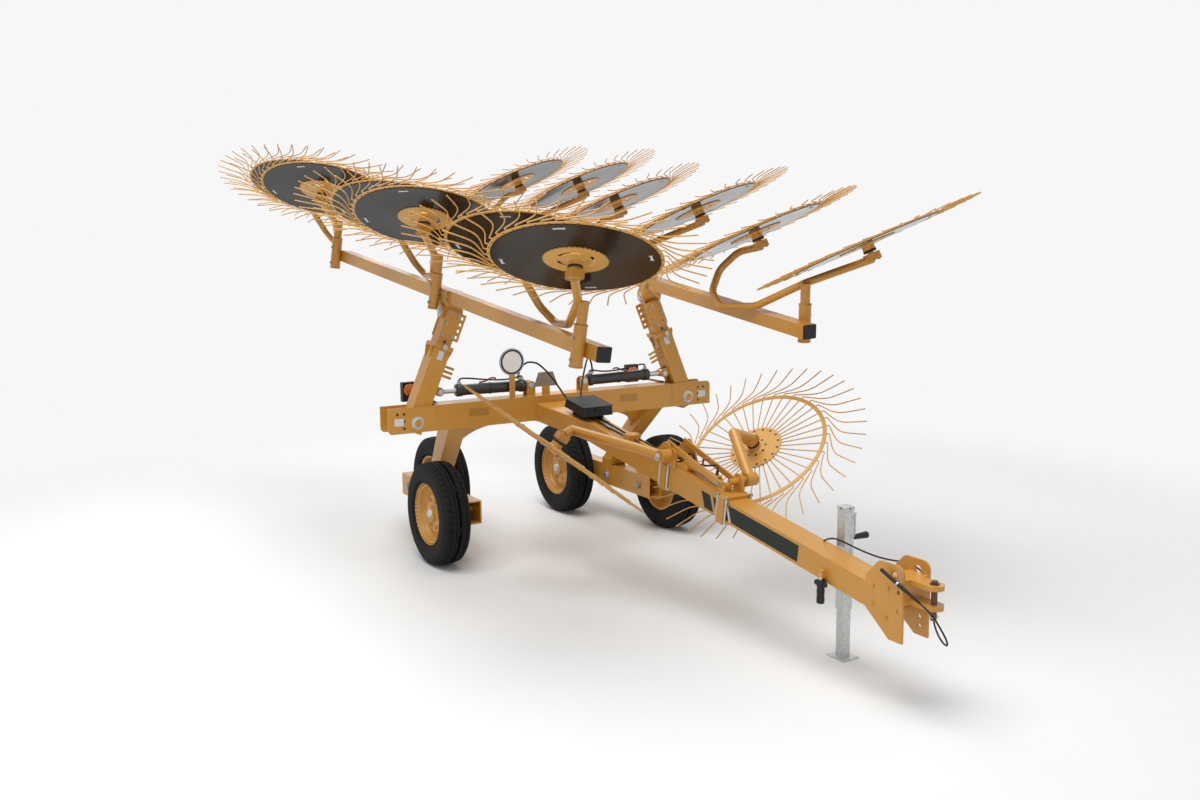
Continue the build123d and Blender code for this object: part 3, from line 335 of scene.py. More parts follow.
def plainMesh(name, shape, material):
    mesh = bpy.data.meshes.new(name)
    mesh.from_pydata([tuple(v) for v in shape[0]], [], shape[1])
    mesh.materials.append(material)
    return mesh


def cleanMesh(mesh, merge):
    editor = bmesh.new()
    editor.from_mesh(mesh)
    if merge:
        bmesh.ops.remove_doubles(editor, verts=editor.verts, dist=merge)
    bmesh.ops.recalc_face_normals(editor, faces=editor.faces)
    editor.to_mesh(mesh)
    editor.free()


# A smooth mesh with sharp edges above an angle in degrees; mergeLast joins the poles once they are marked
def smoothMesh(name, shape, material, sharp=35, mergeFirst=0, mergeLast=0):
    mesh = plainMesh(name, shape, material)
    mesh.validate()
    cleanMesh(mesh, mergeFirst)
    mesh.polygons.foreach_set("use_smooth", [True] * len(mesh.polygons))
    mesh.set_sharp_from_angle(angle=radians(sharp))
    if mergeLast:
        cleanMesh(mesh, mergeLast)
    return mesh


# A profile of (radius, height) turned round the Z axis of each matrix
def turnProfile(profile, segments, matrices=None, closed=False):
    vertices, faces = [], []
    count = len(profile)
    last = count if closed else count - 1
    for matrix in matrices or [Matrix()]:
        start = len(vertices)
        for i in range(segments):
            angle = 2 * pi * i / segments
            for radius, height in profile:
                vertices.append(matrix @ Vector((radius * cos(angle), radius * sin(angle), height)))
        for i in range(segments):
            near, far = start + i * count, start + (i + 1) % segments * count
            for k in range(last):
                m = (k + 1) % count
                faces.append([near + k, far + k, far + m, near + m])
    return vertices, faces


def addTurned(name, profile, segments, material, matrices, body="chassis", slotName=None, closed=False, sharp=35):
    shape = turnProfile(profile, segments, matrices, closed)
    return addPiece(name, smoothMesh(name, shape, material, sharp, mergeLast=0.00002), body, slotName)


# Hexagon heads, each with its washer, standing on the face that a matrix gives
boltShape = {"washer": 1.05, "washerHigh": 0.16, "washerSides": 20, "head": 0.86, "headSides": 6}


def addBolts(name, places, size, body="chassis", material=boltZinc, grip=0.6):
    vertices, faces = [], []
    low = boltShape["washerHigh"] * size
    steps = (
        (boltShape["washer"] * size, 0, low, boltShape["washerSides"]),
        (boltShape["head"] * size, low, low + grip * size, boltShape["headSides"]),
    )
    for matrix in places:
        for radius, bottom, top, count in steps:
            start = len(vertices)
            for height in (bottom, top):
                for i in range(count):
                    angle = 2 * pi * i / count
                    vertices.append(matrix @ Vector((radius * cos(angle), radius * sin(angle), height)))
            faces.append([start + count + i for i in range(count)])
            for i in range(count):
                j = (i + 1) % count
                faces.append([start + i, start + j, start + count + j, start + count + i])
    return addPiece(name, smoothMesh(name, (vertices, faces), material, 25), body)


def makeCurve(name, routes, radius, material, smooth=True, resolution=6, roundness=2):
    curve = bpy.data.curves.new(name, "CURVE")
    curve.dimensions = "3D"
    curve.bevel_depth = radius
    curve.bevel_resolution = roundness
    curve.resolution_u = resolution
    curve.use_fill_caps = True
    for route in routes:
        spline = curve.splines.new("NURBS" if smooth else "POLY")
        spline.points.add(len(route) - 1)
        for point, place in zip(spline.points, route):
            point.co = (*place, 1)
        if smooth:
            spline.order_u = 3
            spline.use_endpoint_u = True
    curve.materials.append(material)
    return curve


def addCurve(name, routes, radius, material, body="chassis", slotName=None, smooth=True):
    return addPiece(name, makeCurve(name, routes, radius, material, smooth), body, slotName)


def curveMesh(curve):
    # A helper object, so that the shown piece's own bounds stay right
    helper = bpy.data.objects.new("helper", curve)
    mesh = bpy.data.meshes.new_from_object(helper)
    bpy.data.objects.remove(helper)
    return mesh


# Each outline is (matrix, points): flat plates that grow along the matrix's Z
def addPlates(name, outlines, thickness, material, body="chassis", slotName=None, bevelMm=1.0):
    vertices, faces = [], []
    for matrix, points in outlines:
        start, count = len(vertices), len(points)
        for height in (0, thickness):
            vertices += [matrix @ Vector((x, y, height)) for x, y in points]
        faces.append([start + i for i in reversed(range(count))])
        faces.append([start + count + i for i in range(count)])
        for i in range(count):
            j = (i + 1) % count
            faces.append([start + i, start + j, start + count + j, start + count + i])
    piece = addPiece(name, smoothMesh(name, (vertices, faces), material, 30), body, slotName)
    if bevelMm:
        softenEdges(piece, bevelMm)
    return piece


def oblong(halfX, halfY):
    return [(-halfX, -halfY), (halfX, -halfY), (halfX, halfY), (-halfX, halfY)]


def ellipse(radiusX, radiusY, count):
    return [(radiusX * cos(2 * pi * i / count), radiusY * sin(2 * pi * i / count)) for i in range(count)]


def ringRoute(matrix, radiusX, radiusY, count):
    loop = ellipse(radiusX, radiusY, count)
    return [matrix @ Vector((x, y, 0)) for x, y in loop + loop[:1]]


def bandProfile(inside, outside, low, high):
    return [(inside, low), (outside, low), (outside, high), (inside, high)]


# A black dot a few tenths proud: painted shade that reads as the dark inside of a drilled hole
def holeShadeProfile(radius, low=0, high=0.0004):
    return bandProfile(0, radius, low, high)


# Free cable, from the tongue's top to its plug on the near hitch plate, with the plug's ribbed boot
cableSizes = {
    "diameter": 0.009,
    "route": (
        (3181, 58, 635.5), (3226, 57, 662), (3300, 57, 668), (3400, 62, 652), (3500, 72, 638),
        (3595, 88, 632), (3685, 102, 640), (3775, 106, 641), (3850, 106, 612), (3906, 102, 562),
        (3922, 84, 498), (3938, 66, 436), (3976, 50, 382), (4034, 30, 348), (4092, 4, 350),
        (4112, -26, 394), (4096, -54, 452), (4061, -76, 514), (4000, -86, 546),
    ),
    "plugEnd": (4000, -86, 546),
    "plugTip": (3782, -122, 660),
    "ribs": 9, "ribStart": 0.004, "ribPitch": 0.0092, "ribGrow": 0.0001,
    "rib": ((0.0058, 0), (0.0072, 0.002), (0.0072, 0.005), (0.0058, 0.0068)),
    "neck": [(0.0052, 0.002)],
    "shoulder": [(0.0092, 0.088), (0.0092, 0.0895)],
    "collar": [(0.0091, 0.138), (0.0102, 0.139), (0.0102, 0.146), (0.0091, 0.147)],
}


def splineLength(curve):
    points = [v.co.copy() for v in curveMesh(curve).vertices]
    return sum((b - a).length for a, b in zip(points, points[1:]))


def bootProfile():
    size = cableSizes
    profile = list(size["neck"])
    for i in range(size["ribs"]):
        low, grow = size["ribStart"] + i * size["ribPitch"], i * size["ribGrow"]
        profile += [(radius + grow, low + rise) for radius, rise in size["rib"]]
    return profile + size["shoulder"]


def addCable():
    route = [rowPoint(*p) for p in cableSizes["route"]]
    curve = makeCurve("cableLead", [route], cableSizes["diameter"] / 2, hoseRubber, resolution=12, roundness=4)
    cable = addPiece("cableLead", curve)
    line = cable.data.copy()
    line.bevel_depth = 0
    length = splineLength(line)
    start, end = rowPoint(*cableSizes["plugEnd"]), rowPoint(*cableSizes["plugTip"])
    matrix = placeAt(start, end - start)
    boot = addTurned("plugBoot", bootProfile(), 28, blackMoulded, [matrix], slotName="black_rubber")
    ring = addTurned("plugCollar", cableSizes["collar"], 28, zincSteel, [matrix])
    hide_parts("cable")
    print("cable length", round(length, 3))


addCable()
print("cable made")


# Tyres with ribs, shoulder blocks every few segments and narrow sipes across the ribs
tyreSizes = {
    "radius": 0.35, "halfWidth": 0.1, "groove": 0.009, "segments": 288, "pitch": 6,
    "blocks": (0.055, 0.0915), "blockCut": 0.0075, "ribEdge": 0.0555, "ribTop": 0.345, "sipeCut": 0.0035,
}


def tyreProfile():
    r, w, g = tyreSizes["radius"], tyreSizes["halfWidth"], tyreSizes["groove"]
    half = [(r, 0.0), (r, 0.012), (r - g, 0.0145), (r - g, 0.021), (r - 0.0005, 0.0235), (r - 0.001, 0.044)]
    half += [(r - g, 0.0465), (r - g, 0.053), (r - 0.0025, 0.0555), (r - 0.008, 0.078), (r - 0.017, 0.086)]
    half += [(r - 0.028, 0.0915), (r - 0.04, 0.0945), (r - 0.042, 0.0975), (r - 0.06, w), (r - 0.085, w)]
    half += [(r - 0.108, 0.0965), (r - 0.111, 0.098), (r - 0.117, 0.098), (r - 0.12, 0.094)]
    half += [(r - 0.134, 0.085), (r - 0.141, 0.081), (r - 0.145, 0.072)]
    return half + [(radius, -height) for radius, height in reversed(half[1:])]


def addTyre(name, body, matrix):
    size, profile = tyreSizes, tyreProfile()
    low, high = size["blocks"]
    vertices, faces = turnProfile(profile, size["segments"])
    for i in range(size["segments"]):
        angle = 2 * pi * i / size["segments"]
        for k, (radius, height) in enumerate(profile):
            cut, aside = 0, size["pitch"] // 2 if height > 0 else 0
            if low < abs(height) < high and i % size["pitch"] == 0:
                cut = size["blockCut"]
            if abs(height) < size["ribEdge"] and radius > size["ribTop"] and (i + aside) % size["pitch"] == 0:
                cut = size["sipeCut"]
            r = radius - cut
            vertices[i * len(profile) + k] = Vector((r * cos(angle), r * sin(angle), height))
    mesh = smoothMesh(f"tyreDetail_{name}", (vertices, faces), tyreRubber, 28)
    piece = addPiece(f"tyreDetail_{name}", mesh, body, matrix=matrix)
    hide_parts(f"tyre_{name}")


# Pressed rims with their hub caps, wheel nuts and valves
rimSizes = {
    "profile": [
        (0.034, 0.062), (0.05, 0.06), (0.052, 0.04), (0.056, 0.034), (0.085, 0.032), (0.112, 0.037), (0.128, 0.034),
        (0.14, 0.022), (0.152, 0.016), (0.172, 0.018), (0.182, 0.03), (0.186, 0.05), (0.19, 0.064), (0.2, 0.069),
        (0.209, 0.073), (0.2125, 0.078), (0.209, 0.0825), (0.203, 0.08), (0.199, 0.07), (0.196, 0.04), (0.194, -0.04),
        (0.199, -0.068), (0.2, -0.075), (0.209, -0.078), (0.2115, -0.082), (0.207, -0.085), (0.196, -0.08),
        (0.19, -0.065), (0.186, -0.04), (0.184, 0.0), (0.176, 0.01), (0.15, 0.008), (0.06, 0.02), (0.052, 0.018),
        (0.052, -0.058), (0.046, -0.064), (0.0225, -0.064),
    ],
    "cap": [(0, 0.078), (0.02, 0.077), (0.029, 0.072), (0.033, 0.064), (0.034, 0.058)],
    "nuts": 6, "nutCircle": 0.098, "nutFoot": 0.034, "nut": 0.0135, "nutGrip": 1.3,
    "valve": ((0.168, 0, 0.012), (0.162, 0, 0.03), (0.15, 0, 0.048)), "valveRadius": 0.004,
}


def addRim(name, body, matrix):
    size = rimSizes
    rim = addTurned(f"rimDetail_{name}", size["profile"], 96, rimPaint, [matrix], body, sharp=40)
    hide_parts(f"rim_{name}")
    addTurned(f"hubCap_{name}", size["cap"], 32, zincSteel, [matrix], body, "ochre_paint")
    studs = [Vector((x, y, size["nutFoot"])) for x, y in ellipse(size["nutCircle"], size["nutCircle"], size["nuts"])]
    nuts = [matrix @ Matrix.Translation(stud) for stud in studs]
    addBolts(f"lugNuts_{name}", nuts, size["nut"], body, tineSteel, grip=size["nutGrip"])
    stem = [matrix @ Vector(point) for point in size["valve"]]
    addCurve(f"valve_{name}", [stem], size["valveRadius"], hoseRubber, body, "tyre_rubber")


outwardWay = {"front_right": -1, "rear_right": 1, "front_left": 1, "rear_left": -1}
for wheelName, outward in outwardWay.items():
    wheelPlace = placeAt(Vector(jointOf[f"spin_{wheelName}"]["pos_m"]), (0, outward, 0))
    addTyre(wheelName, f"road_wheel_{wheelName}", wheelPlace)
    addRim(wheelName, f"road_wheel_{wheelName}", wheelPlace)
print("road wheels made")

# Rake wheels: forty bent tines through a flat ring, and a pressed hub plate. Metres; "run" and "tip" are
# (radius, degrees), and every other tine lies a little higher
tineSizes = {
    "count": 40, "wire": 0.0037, "knee": 0.47, "run": (0.528, 17.5), "tip": (0.702, 24.0), "lift": (0.0025, 0.0037),
}
ringSizes = {"outside": 0.455, "inside": 0.43, "half": 0.0025}
# Three arc slots open one row of the hub plate; its rim is toothed between the tines
hubSizes = {
    "radius": 0.174, "tooth": 0.0032, "toothSteps": 4, "steps": 160, "layers": (-0.0114, -0.0064),
    "rings": (0.037, 0.06, 0.084, 0.106, 0.128, 0.166), "slotRow": 2, "slots": 3, "slotSpan": (0.14, 0.86),
    "clampRing": [(0.128, 0.0008), (0.16, 0.0008), (0.16, 0.0052), (0.128, 0.0052)],
    "hub": [
        (0.0176, -0.06), (0.036, -0.06), (0.038, -0.057), (0.038, -0.02), (0.046, -0.016), (0.06, -0.0115),
        (0.06, -0.0065), (0.046, 0.004), (0.038, 0.008), (0.038, 0.018), (0.034, 0.021), (0.03, 0.025), (0.0, 0.026),
    ],
    "boltCircle": 0.05, "boltFoot": 0.001, "bolt": 0.007, "boltAngles": (0.3, 1.87, 3.44, 5.01),
    "collar": [(0.0382, -0.058), (0.0405, -0.057), (0.0405, -0.044), (0.0382, -0.043)],
}
rivetSizes = {"circle": 0.447, "profile": [(0, -0.0052), (0.0034, -0.0048), (0.0046, -0.0034), (0.0046, -0.0024)]}


def tineRoutes(hand):
    (runRadius, runAngle), (tipRadius, tipAngle) = tineSizes["run"], tineSizes["tip"]
    knee = Vector((tineSizes["knee"], 0))
    run = Vector((runRadius * cos(radians(runAngle)), runRadius * sin(radians(runAngle))))
    tip = Vector((tipRadius * cos(radians(tipAngle)), tipRadius * sin(radians(tipAngle))))
    along, outward = (run - knee).normalized(), (tip - run).normalized()
    aside = Vector((-outward.y, outward.x))
    flat = [Vector((0.136, -0.012)), Vector((0.3, -0.006)), knee - Vector((0.022, 0.001)), knee + Vector((0.003, 0))]
    flat += [knee + along * 0.024, run + along * 0.01 - outward * 0.002, run + outward * 0.1 + aside * 0.006, tip]
    routes = []
    for i in range(tineSizes["count"]):
        turn = Matrix.Rotation(2 * pi * i / tineSizes["count"], 2)
        lift = tineSizes["lift"][i % 2]
        routes.append([Vector(((turn @ p).x, hand * (turn @ p).y, lift)) for p in flat])
    return routes


def wheelTines(name, hand):
    return curveMesh(makeCurve(name, tineRoutes(hand), tineSizes["wire"], tineSteel, roundness=1))


def hubPlate(slotted):
    size = hubSizes
    steps, rows = size["steps"], len(size["rings"]) + 1
    vertices, faces = [], []
    for height in size["layers"]:
        for radius in size["rings"] + (0.0,):
            for i in range(steps):
                angle = 2 * pi * i / steps
                r = radius or size["radius"] - size["tooth"] * (i % size["toothSteps"])
                vertices.append(Vector((r * cos(angle), r * sin(angle), height)))

    def index(layer, row, i):
        return (layer * rows + row) * steps + i % steps

    def isOpen(row, i):
        sector = (i % steps) / steps * size["slots"] % 1
        return slotted and row == size["slotRow"] and size["slotSpan"][0] < sector < size["slotSpan"][1]

    def addWall(row, i):
        faces.append([index(0, row, i), index(0, row, i + 1), index(1, row, i + 1), index(1, row, i)])

    for i in range(steps):
        for row in range(rows - 1):
            if isOpen(row, i):
                addWall(row, i)
                addWall(row + 1, i)
                continue
            for layer in (0, 1):
                corners = ((row, i), (row, i + 1), (row + 1, i + 1), (row + 1, i))
                faces.append([index(layer, *corner) for corner in corners])
            for step, at in ((-1, i), (1, i + 1)):
                if isOpen(row, i + step):
                    faces.append([index(0, row, at), index(1, row, at), index(1, row + 1, at), index(0, row + 1, at)])
        for row in (0, rows - 1):
            addWall(row, i)
    return vertices, faces


def wheelBodyMesh(name, slotted):
    inside, outside, half = ringSizes["inside"], ringSizes["outside"], ringSizes["half"]
    ring = [(inside, -half), (outside, -half), (outside, half), (inside, half)]
    shapes = [hubPlate(slotted), turnProfile(ring, 128, closed=True)]
    shapes += [turnProfile(hubSizes["clampRing"], 96, closed=True), turnProfile(hubSizes["hub"], 40)]
    return smoothMesh(name, joinShapes(shapes), tineSteel, 30, mergeFirst=0.00005)


def rivetPlaces():
    step = Matrix.Translation((rivetSizes["circle"], 0, 0))
    count = tineSizes["count"]
    return [Matrix.Rotation(2 * pi * (i + 0.5) / count, 4, "Z") @ step for i in range(count)]


wheelBodies = {"rake": wheelBodyMesh("wheelBody", True), "kicker": wheelBodyMesh("kickerBody", False)}
rivetMesh = plainMesh("ringRivets", turnProfile(rivetSizes["profile"], 8, rivetPlaces()), pinSteel)
tineMeshes = {"right": wheelTines("tinesRight", 1), "left": wheelTines("tinesLeft", -1)}


def addRakeWheel(node, joint, hand):
    kind = node.split("_")[0]
    place, body = placeAt(Vector(joint["pos_m"]), joint["axis"]), joint["child"]
    plate = addPiece(f"hubAndRing_{node}", wheelBodies[kind], body, matrix=place)
    tineMesh = tineMeshes[hand].copy()
    tineMesh.transform(place)
    tines = addPiece(f"tines_{node}", tineMesh, body)
    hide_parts(node)
    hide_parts(node)
    if kind == "rake":
        addPiece(f"rivets_{node}", rivetMesh, body, matrix=place)
    reach, foot = hubSizes["boltCircle"], hubSizes["boltFoot"]
    nuts = [place @ Matrix.Translation((reach * cos(a), reach * sin(a), foot)) for a in hubSizes["boltAngles"]]
    addBolts(f"hubBolts_{node}", nuts, hubSizes["bolt"], body)
    return place, body


# Wind guards: one sheet with rolled edges, and four clips of a wide strap between two short ones
guardSizes = {
    "profile": [
        (0.165, -0.0072), (0.18, -0.0068), (0.3, -0.0064), (0.425, -0.0062), (0.434, -0.0068), (0.4375, -0.0066),
        (0.4375, -0.0034), (0.434, -0.0032), (0.425, -0.0032), (0.3, -0.0034), (0.18, -0.0036), (0.165, -0.0036),
    ],
    "clips": 4, "clipPlace": (0.392, 0, -0.0088), "clipThick": 0.0022,
    "straps": ((0, 0.03, 0.006), (-0.07, 0.003, 0.01), (0.07, 0.003, 0.01)),
}


def addGuard(node, place, body):
    size = guardSizes
    guard = addTurned(f"guardSheet_{node}", size["profile"], 96, guardSheet, [place], body, closed=True)
    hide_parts(node)
    clips = []
    for i in range(size["clips"]):
        angle = pi / 4 + i * 2 * pi / size["clips"]
        for step, reach, height in size["straps"]:
            turn = place @ Matrix.Rotation(angle + step, 4, "Z") @ Matrix.Translation(size["clipPlace"])
            clips.append((turn, oblong(height, reach)))
    addPlates(f"guardClips_{node}", clips, size["clipThick"], labelWhite, body, "galvanised", 0)


otherSide = {"right": "left", "left": "right"}
for sideName in sides:
    for number in range(1, 7):
        joint = jointOf[f"rake_spin_{sideName}_{number}"]
        place, body = addRakeWheel(f"rake_wheel_{sideName}_{number}", joint, sideName)
        addGuard(f"wind_guard_{sideName}_{number}", place, body)
    addRakeWheel(f"kicker_wheel_{sideName}", jointOf[f"kicker_spin_{sideName}"], otherSide[sideName])
print("rake wheels made")


# Frames to place small parts in: the tongue, the leaning masts and the rake beams, as in the CAD
frameSizes = {
    "tongueRear": (490, 0, 980), "tongueFront": (3745, 0, 482), "foldPin": (1087, 987), "mastLean": 22.7,
    "beamPitch": 7.0, "beamYaw": 1.96, "beamRoll": 5.2, "beamX": 415, "beamUp": 892, "beamIn": 49,
    "beamMiddle": 1860, "beamLift": {"right": -24, "left": 24},
}
foldY, foldZ = frameSizes["foldPin"]
mastLean = radians(frameSizes["mastLean"])
tongueRear = Vector(frameSizes["tongueRear"])
tongueRun = (Vector(frameSizes["tongueFront"]) - tongueRear).normalized()
tongueRise = Vector((-tongueRun.z, 0, tongueRun.x))


def onTongue(x, out=0, up=0):
    along = (x - tongueRear.x) / tongueRun.x
    return rowPoint(*(tongueRear + tongueRun * along + tongueRise * up + Vector((0, out, 0))))


def tongueFace(x, out, way, up=0):
    return placeAt(onTongue(x, out, up), (0, way, 0), tongueRun)


def tongueTop(x, up, out=0):
    return placeAt(onTongue(x, out, up), tongueRise, tongueRun)


def alongTongue(x, up):
    return placeAt(onTongue(x, 0, up), tongueRun, (0, 1, 0))


def onMast(side, x, along, out):
    y = -foldY + along * sin(mastLean) + out * cos(mastLean)
    z = foldZ + along * cos(mastLean) - out * sin(mastLean)
    return rowPoint(x, y * -sides[side], z)


def mastWay(side):
    return Vector((0, -sides[side] * sin(mastLean), cos(mastLean)))


def mastInward(side):
    return Vector((0, -sides[side] * cos(mastLean), -sin(mastLean)))


def mastFace(side, x, along, out=0, way=1):
    return placeAt(onMast(side, x, along, out), (way, 0, 0), mastWay(side))


beamPitch, beamYaw, beamRoll = [radians(frameSizes[name]) for name in ("beamPitch", "beamYaw", "beamRoll")]
beamRun = Vector((-cos(beamPitch) * cos(beamYaw), -cos(beamPitch) * sin(beamYaw), sin(beamPitch)))
flatOut = (Vector((0, -1, 0)) - beamRun * beamRun.dot(Vector((0, -1, 0)))).normalized()
riseOut = beamRun.cross(flatOut).normalized()
beamOut = (flatOut * cos(beamRoll) + riseOut * sin(beamRoll)).normalized()
beamRise = beamRun.cross(beamOut).normalized()


def mirrorSide(side, vector):
    return Vector((vector.x, vector.y * -sides[side], vector.z))


def onBeam(side, along, out=0, up=0):
    beamUp, beamIn = frameSizes["beamUp"], frameSizes["beamIn"]
    y = -foldY + beamUp * sin(mastLean) - beamIn * cos(mastLean)
    z = foldZ + beamUp * cos(mastLean) + beamIn * sin(mastLean)
    crossing = Vector((frameSizes["beamX"], y, z)) + Vector((0, 0, frameSizes["beamLift"][side]))
    point = crossing + beamRun * (along - frameSizes["beamMiddle"]) + beamOut * out + beamRise * up
    return rowPoint(point.x, point.y * -sides[side], point.z)


def beamPlace(side, along, out, up, zAxis, xAxis):
    return placeAt(onBeam(side, along, out, up), mirrorSide(side, zAxis), mirrorSide(side, xAxis))


# The wide tongue root that runs out into the tube, with its welds
baseSizes = {
    "rear": 491, "front": 1000, "rearHalf": 200, "tubeHalf": 78.4, "halfHeight": 63.2, "edge": 6, "weld": 0.0045,
}


def addTongueBase():
    size, vertices = baseSizes, []
    high = size["halfHeight"]
    for x, half in ((size["rear"], size["rearHalf"]), (size["front"], size["tubeHalf"])):
        vertices += [onTongue(x, sign * half, up) for up in (-high, high) for sign in (-1, 1)]
    faces = [[0, 1, 3, 2], [4, 6, 7, 5], [0, 4, 5, 1], [2, 3, 7, 6], [0, 2, 6, 4], [1, 5, 7, 3]]
    base = addPiece("tongueBase", smoothMesh("tongueBase", (vertices, faces), ochrePaint))
    softenEdges(base, size["edge"], "rolledEdges").segments = 3
    # The rear weld lies just clear of the cross tube
    ends = ((size["rear"] + 2, size["rearHalf"]), (size["front"], size["tubeHalf"]))
    welds = [[onTongue(x, sign * half, up) for up in (-high, high)] for sign in (-1, 1) for x, half in ends]
    welds += [[onTongue(x, sign * half, high) for sign in (-1, 1)] for x, half in ends]
    addCurve("tongueWelds", welds, size["weld"], ochrePaint, smooth=False)


addTongueBase()

# Stripes, blank labels, films and the oval hand hole of the tongue; a straight band ends square at its front
markSizes = {
    "low": -46, "high": 44, "slant": -42, "face": 77.6, "stripeThick": 0.0006, "straightFrom": 3000,
    "bands": ((2318, 2400), (2428, 2545), (2572, 3135)), "lines": ((2551, 2563),),
    "hole": (3625, 62.6, 0.036, 0.024), "holeEdge": (3625, 62.9, 0.037, 0.025), "holeEdgeWire": 0.0016,
    "labelHalf": (0.032, 0.024), "labels": ((490.4, -1215, 1000), (490.4, 1215, 1000)), "tongueLabel": (1085, 62.6),
    "mastLabelHalf": (0.03, 0.02), "mastLabel": (478, 470), "labelThick": 0.0005,
    "filmHalf": (0.075, 0.027), "films": ((490.3, -640, 1022), (490.3, 560, 1022)), "filmThick": 0.0004,
}


def stripeOutlines(bands):
    size, outlines = markSizes, []
    low, high, slant, face = size["low"], size["high"], size["slant"], size["face"]
    for sign in (-1, 1):
        for rear, front in bands:
            end = 0 if front > size["straightFrom"] else slant
            corners = ((rear, low, 0), (front, low, 0), (front, high, end), (rear, high, slant))
            matrix = tongueFace((rear + front) / 2, sign * face, sign)
            toFace = matrix.inverted()
            points = [toFace @ onTongue(x + lean, sign * face, up) for x, up, lean in corners]
            outlines.append((matrix, [(p.x, p.y) for p in points]))
    return outlines


def addTongueMarks():
    size = markSizes
    addPlates("tongueStripes", stripeOutlines(size["bands"]), size["stripeThick"], stripeDark, bevelMm=0)
    addPlates("tongueLines", stripeOutlines(size["lines"]), size["stripeThick"], labelWhite, bevelMm=0)
    # The oval hand hole is a black plate: painted shade for the dark inside of the tongue tube
    x, up, long, wide = size["hole"]
    addPlates("handHole", [(tongueTop(x, up), ellipse(long, wide, 32))], 0.0004, blackEnamelAndHoleShade, bevelMm=0)
    x, up, long, wide = size["holeEdge"]
    edge = ringRoute(tongueTop(x, up), long, wide, 32)
    addCurve("handHoleEdge", [edge], size["holeEdgeWire"], ochrePaint, smooth=False)
    places = [tongueTop(*size["tongueLabel"])] + [facingX(*place) for place in size["labels"]]
    label, small, film = oblong(*size["labelHalf"]), oblong(*size["mastLabelHalf"]), oblong(*size["filmHalf"])
    addPlates("blankLabels", [(place, label) for place in places], size["labelThick"], labelWhite, bevelMm=0)
    for side in sides:
        place = mastFace(side, *size["mastLabel"])
        addPlates(f"mastLabel_{side}", [(place, small)], size["labelThick"], labelWhite, f"mast_{side}", bevelMm=0)
    films = [(facingX(*place), film) for place in size["films"]]
    addPlates("frameFilms", films, size["filmThick"], filmOchre, bevelMm=0)


addTongueMarks()
print("tongue dressed")

# Fold pins with their washers, adjusting holes, beam pivots and the welds of the legs
frameParts = {
    "pinFaces": ((490, 1), (340, -1)),
    "pin": [
        (0, 0.0004), (0.044, 0.0004), (0.044, 0.004), (0.031, 0.0045), (0.031, 0.0115), (0.027, 0.0145), (0, 0.015),
    ],
    "holes": ((1180, 1052), (1226, 1052), (1180, 1004), (1180, 956)), "holeX": 490.2, "hole": 0.0095,
    "pivot": (733, 350), "pivotFace": 67.4,
    "pivotCap": [(0, 0.0004), (0.036, 0.0004), (0.036, 0.005), (0.024, 0.006), (0.022, 0.012), (0, 0.013)],
    "wheelX": 442, "nutFace": 55, "nut": 0.03,
    "legWeld": (315, 485, 735, 865, 922), "footWeld": (-60, 60, 673, 793, 480),
    "sideWeld": (490.5, 945, 924, 1092), "weld": 0.004,
}


def addFrameHardware():
    size = frameParts
    pivotY, pivotZ = size["pivot"]
    washers, holes, caps, nuts, welds = [], [], [], [], []
    for sign in (-1, 1):
        washers += [facingX(x, sign * foldY, foldZ, way) for x, way in size["pinFaces"]]
        holes += [facingX(size["holeX"], sign * y, z) for y, z in size["holes"]]
        for edge in (-1, 1):
            caps.append(facingY(0, sign * (pivotY + edge * size["pivotFace"]), pivotZ, sign * edge))
        for x, outward in ((size["wheelX"], sign), (-size["wheelX"], -sign)):
            nuts.append(facingY(x, sign * pivotY - outward * size["nutFace"], pivotZ, -outward))
        for rear, front, near, far, z in (size["legWeld"], size["footWeld"]):
            corners = ((rear, near), (front, near), (front, far), (rear, far), (rear, near))
            welds.append([rowPoint(x, sign * y, z) for x, y in corners])
        x, y, *heights = size["sideWeld"]
        welds.append([rowPoint(x, sign * y, z) for z in heights])
    addTurned("foldPinWashers", size["pin"], 40, zincSteel, washers)
    # The adjusting holes are black dots of painted shade
    addTurned("adjustHoles", holeShadeProfile(size["hole"]), 20, blackEnamelAndHoleShade, holes)
    addTurned("beamPivotCaps", size["pivotCap"], 32, zincSteel, caps)
    addBolts("spindleNuts", nuts, size["nut"])
    addCurve("legWelds", welds, size["weld"], ochrePaint, smooth=False)


addFrameHardware()

# Fold cylinders: rings and gland of the barrel, ports, pipe, red lock pin, pin caps and hose crimps.
# The pipe's rows are (share of the way from front to rear port, rise, sideways)
cylinderSizes = {
    "base": (415, 215, 1165), "eye": (415, 242, 99), "ports": (0.06, 0.535),
    "rings": (
        ((0.0382, 0.041), (0.0425, 0.041), (0.0435, 0.045), (0.0435, 0.075), (0.042, 0.079), (0.0382, 0.081)),
        (
            (0.0382, 0.512), (0.042, 0.514), (0.0435, 0.518), (0.0435, 0.552), (0.042, 0.556), (0.036, 0.5605),
            (0.024, 0.5625), (0.0192, 0.5625),
        ),
        ((0.0382, 0.3), (0.041, 0.301), (0.041, 0.309), (0.0382, 0.31)),
    ),
    "port": [(0, 0.036), (0.014, 0.036), (0.014, 0.052), (0.0105, 0.054), (0.0105, 0.064), (0, 0.066)],
    "pipe": (
        (0, 0.06, 0), (0, 0.078, 0), (0.12, 0.08, 0.4), (0.5, 0.056, 1),
        (0.8, 0.054, 1), (1, 0.075, 0.4), (1, 0.062, 0),
    ),
    "lockShare": 0.32, "lockRise": 0.044, "lock": ((0, 0), (0.05, 0.003), (0.075, 0.02), (0.1, 0.028), (0.125, 0.02)),
    "pipeRadius": 0.006, "basePin": 33, "rodPin": 42.4,
    "crimp": [(0.0068, -0.004), (0.0095, -0.003), (0.0095, 0.012), (0.0088, 0.014), (0.0088, 0.034), (0.0068, 0.036)],
    "crimps": ((415, 300, 1214), (1383, 20, 919.6)),
}


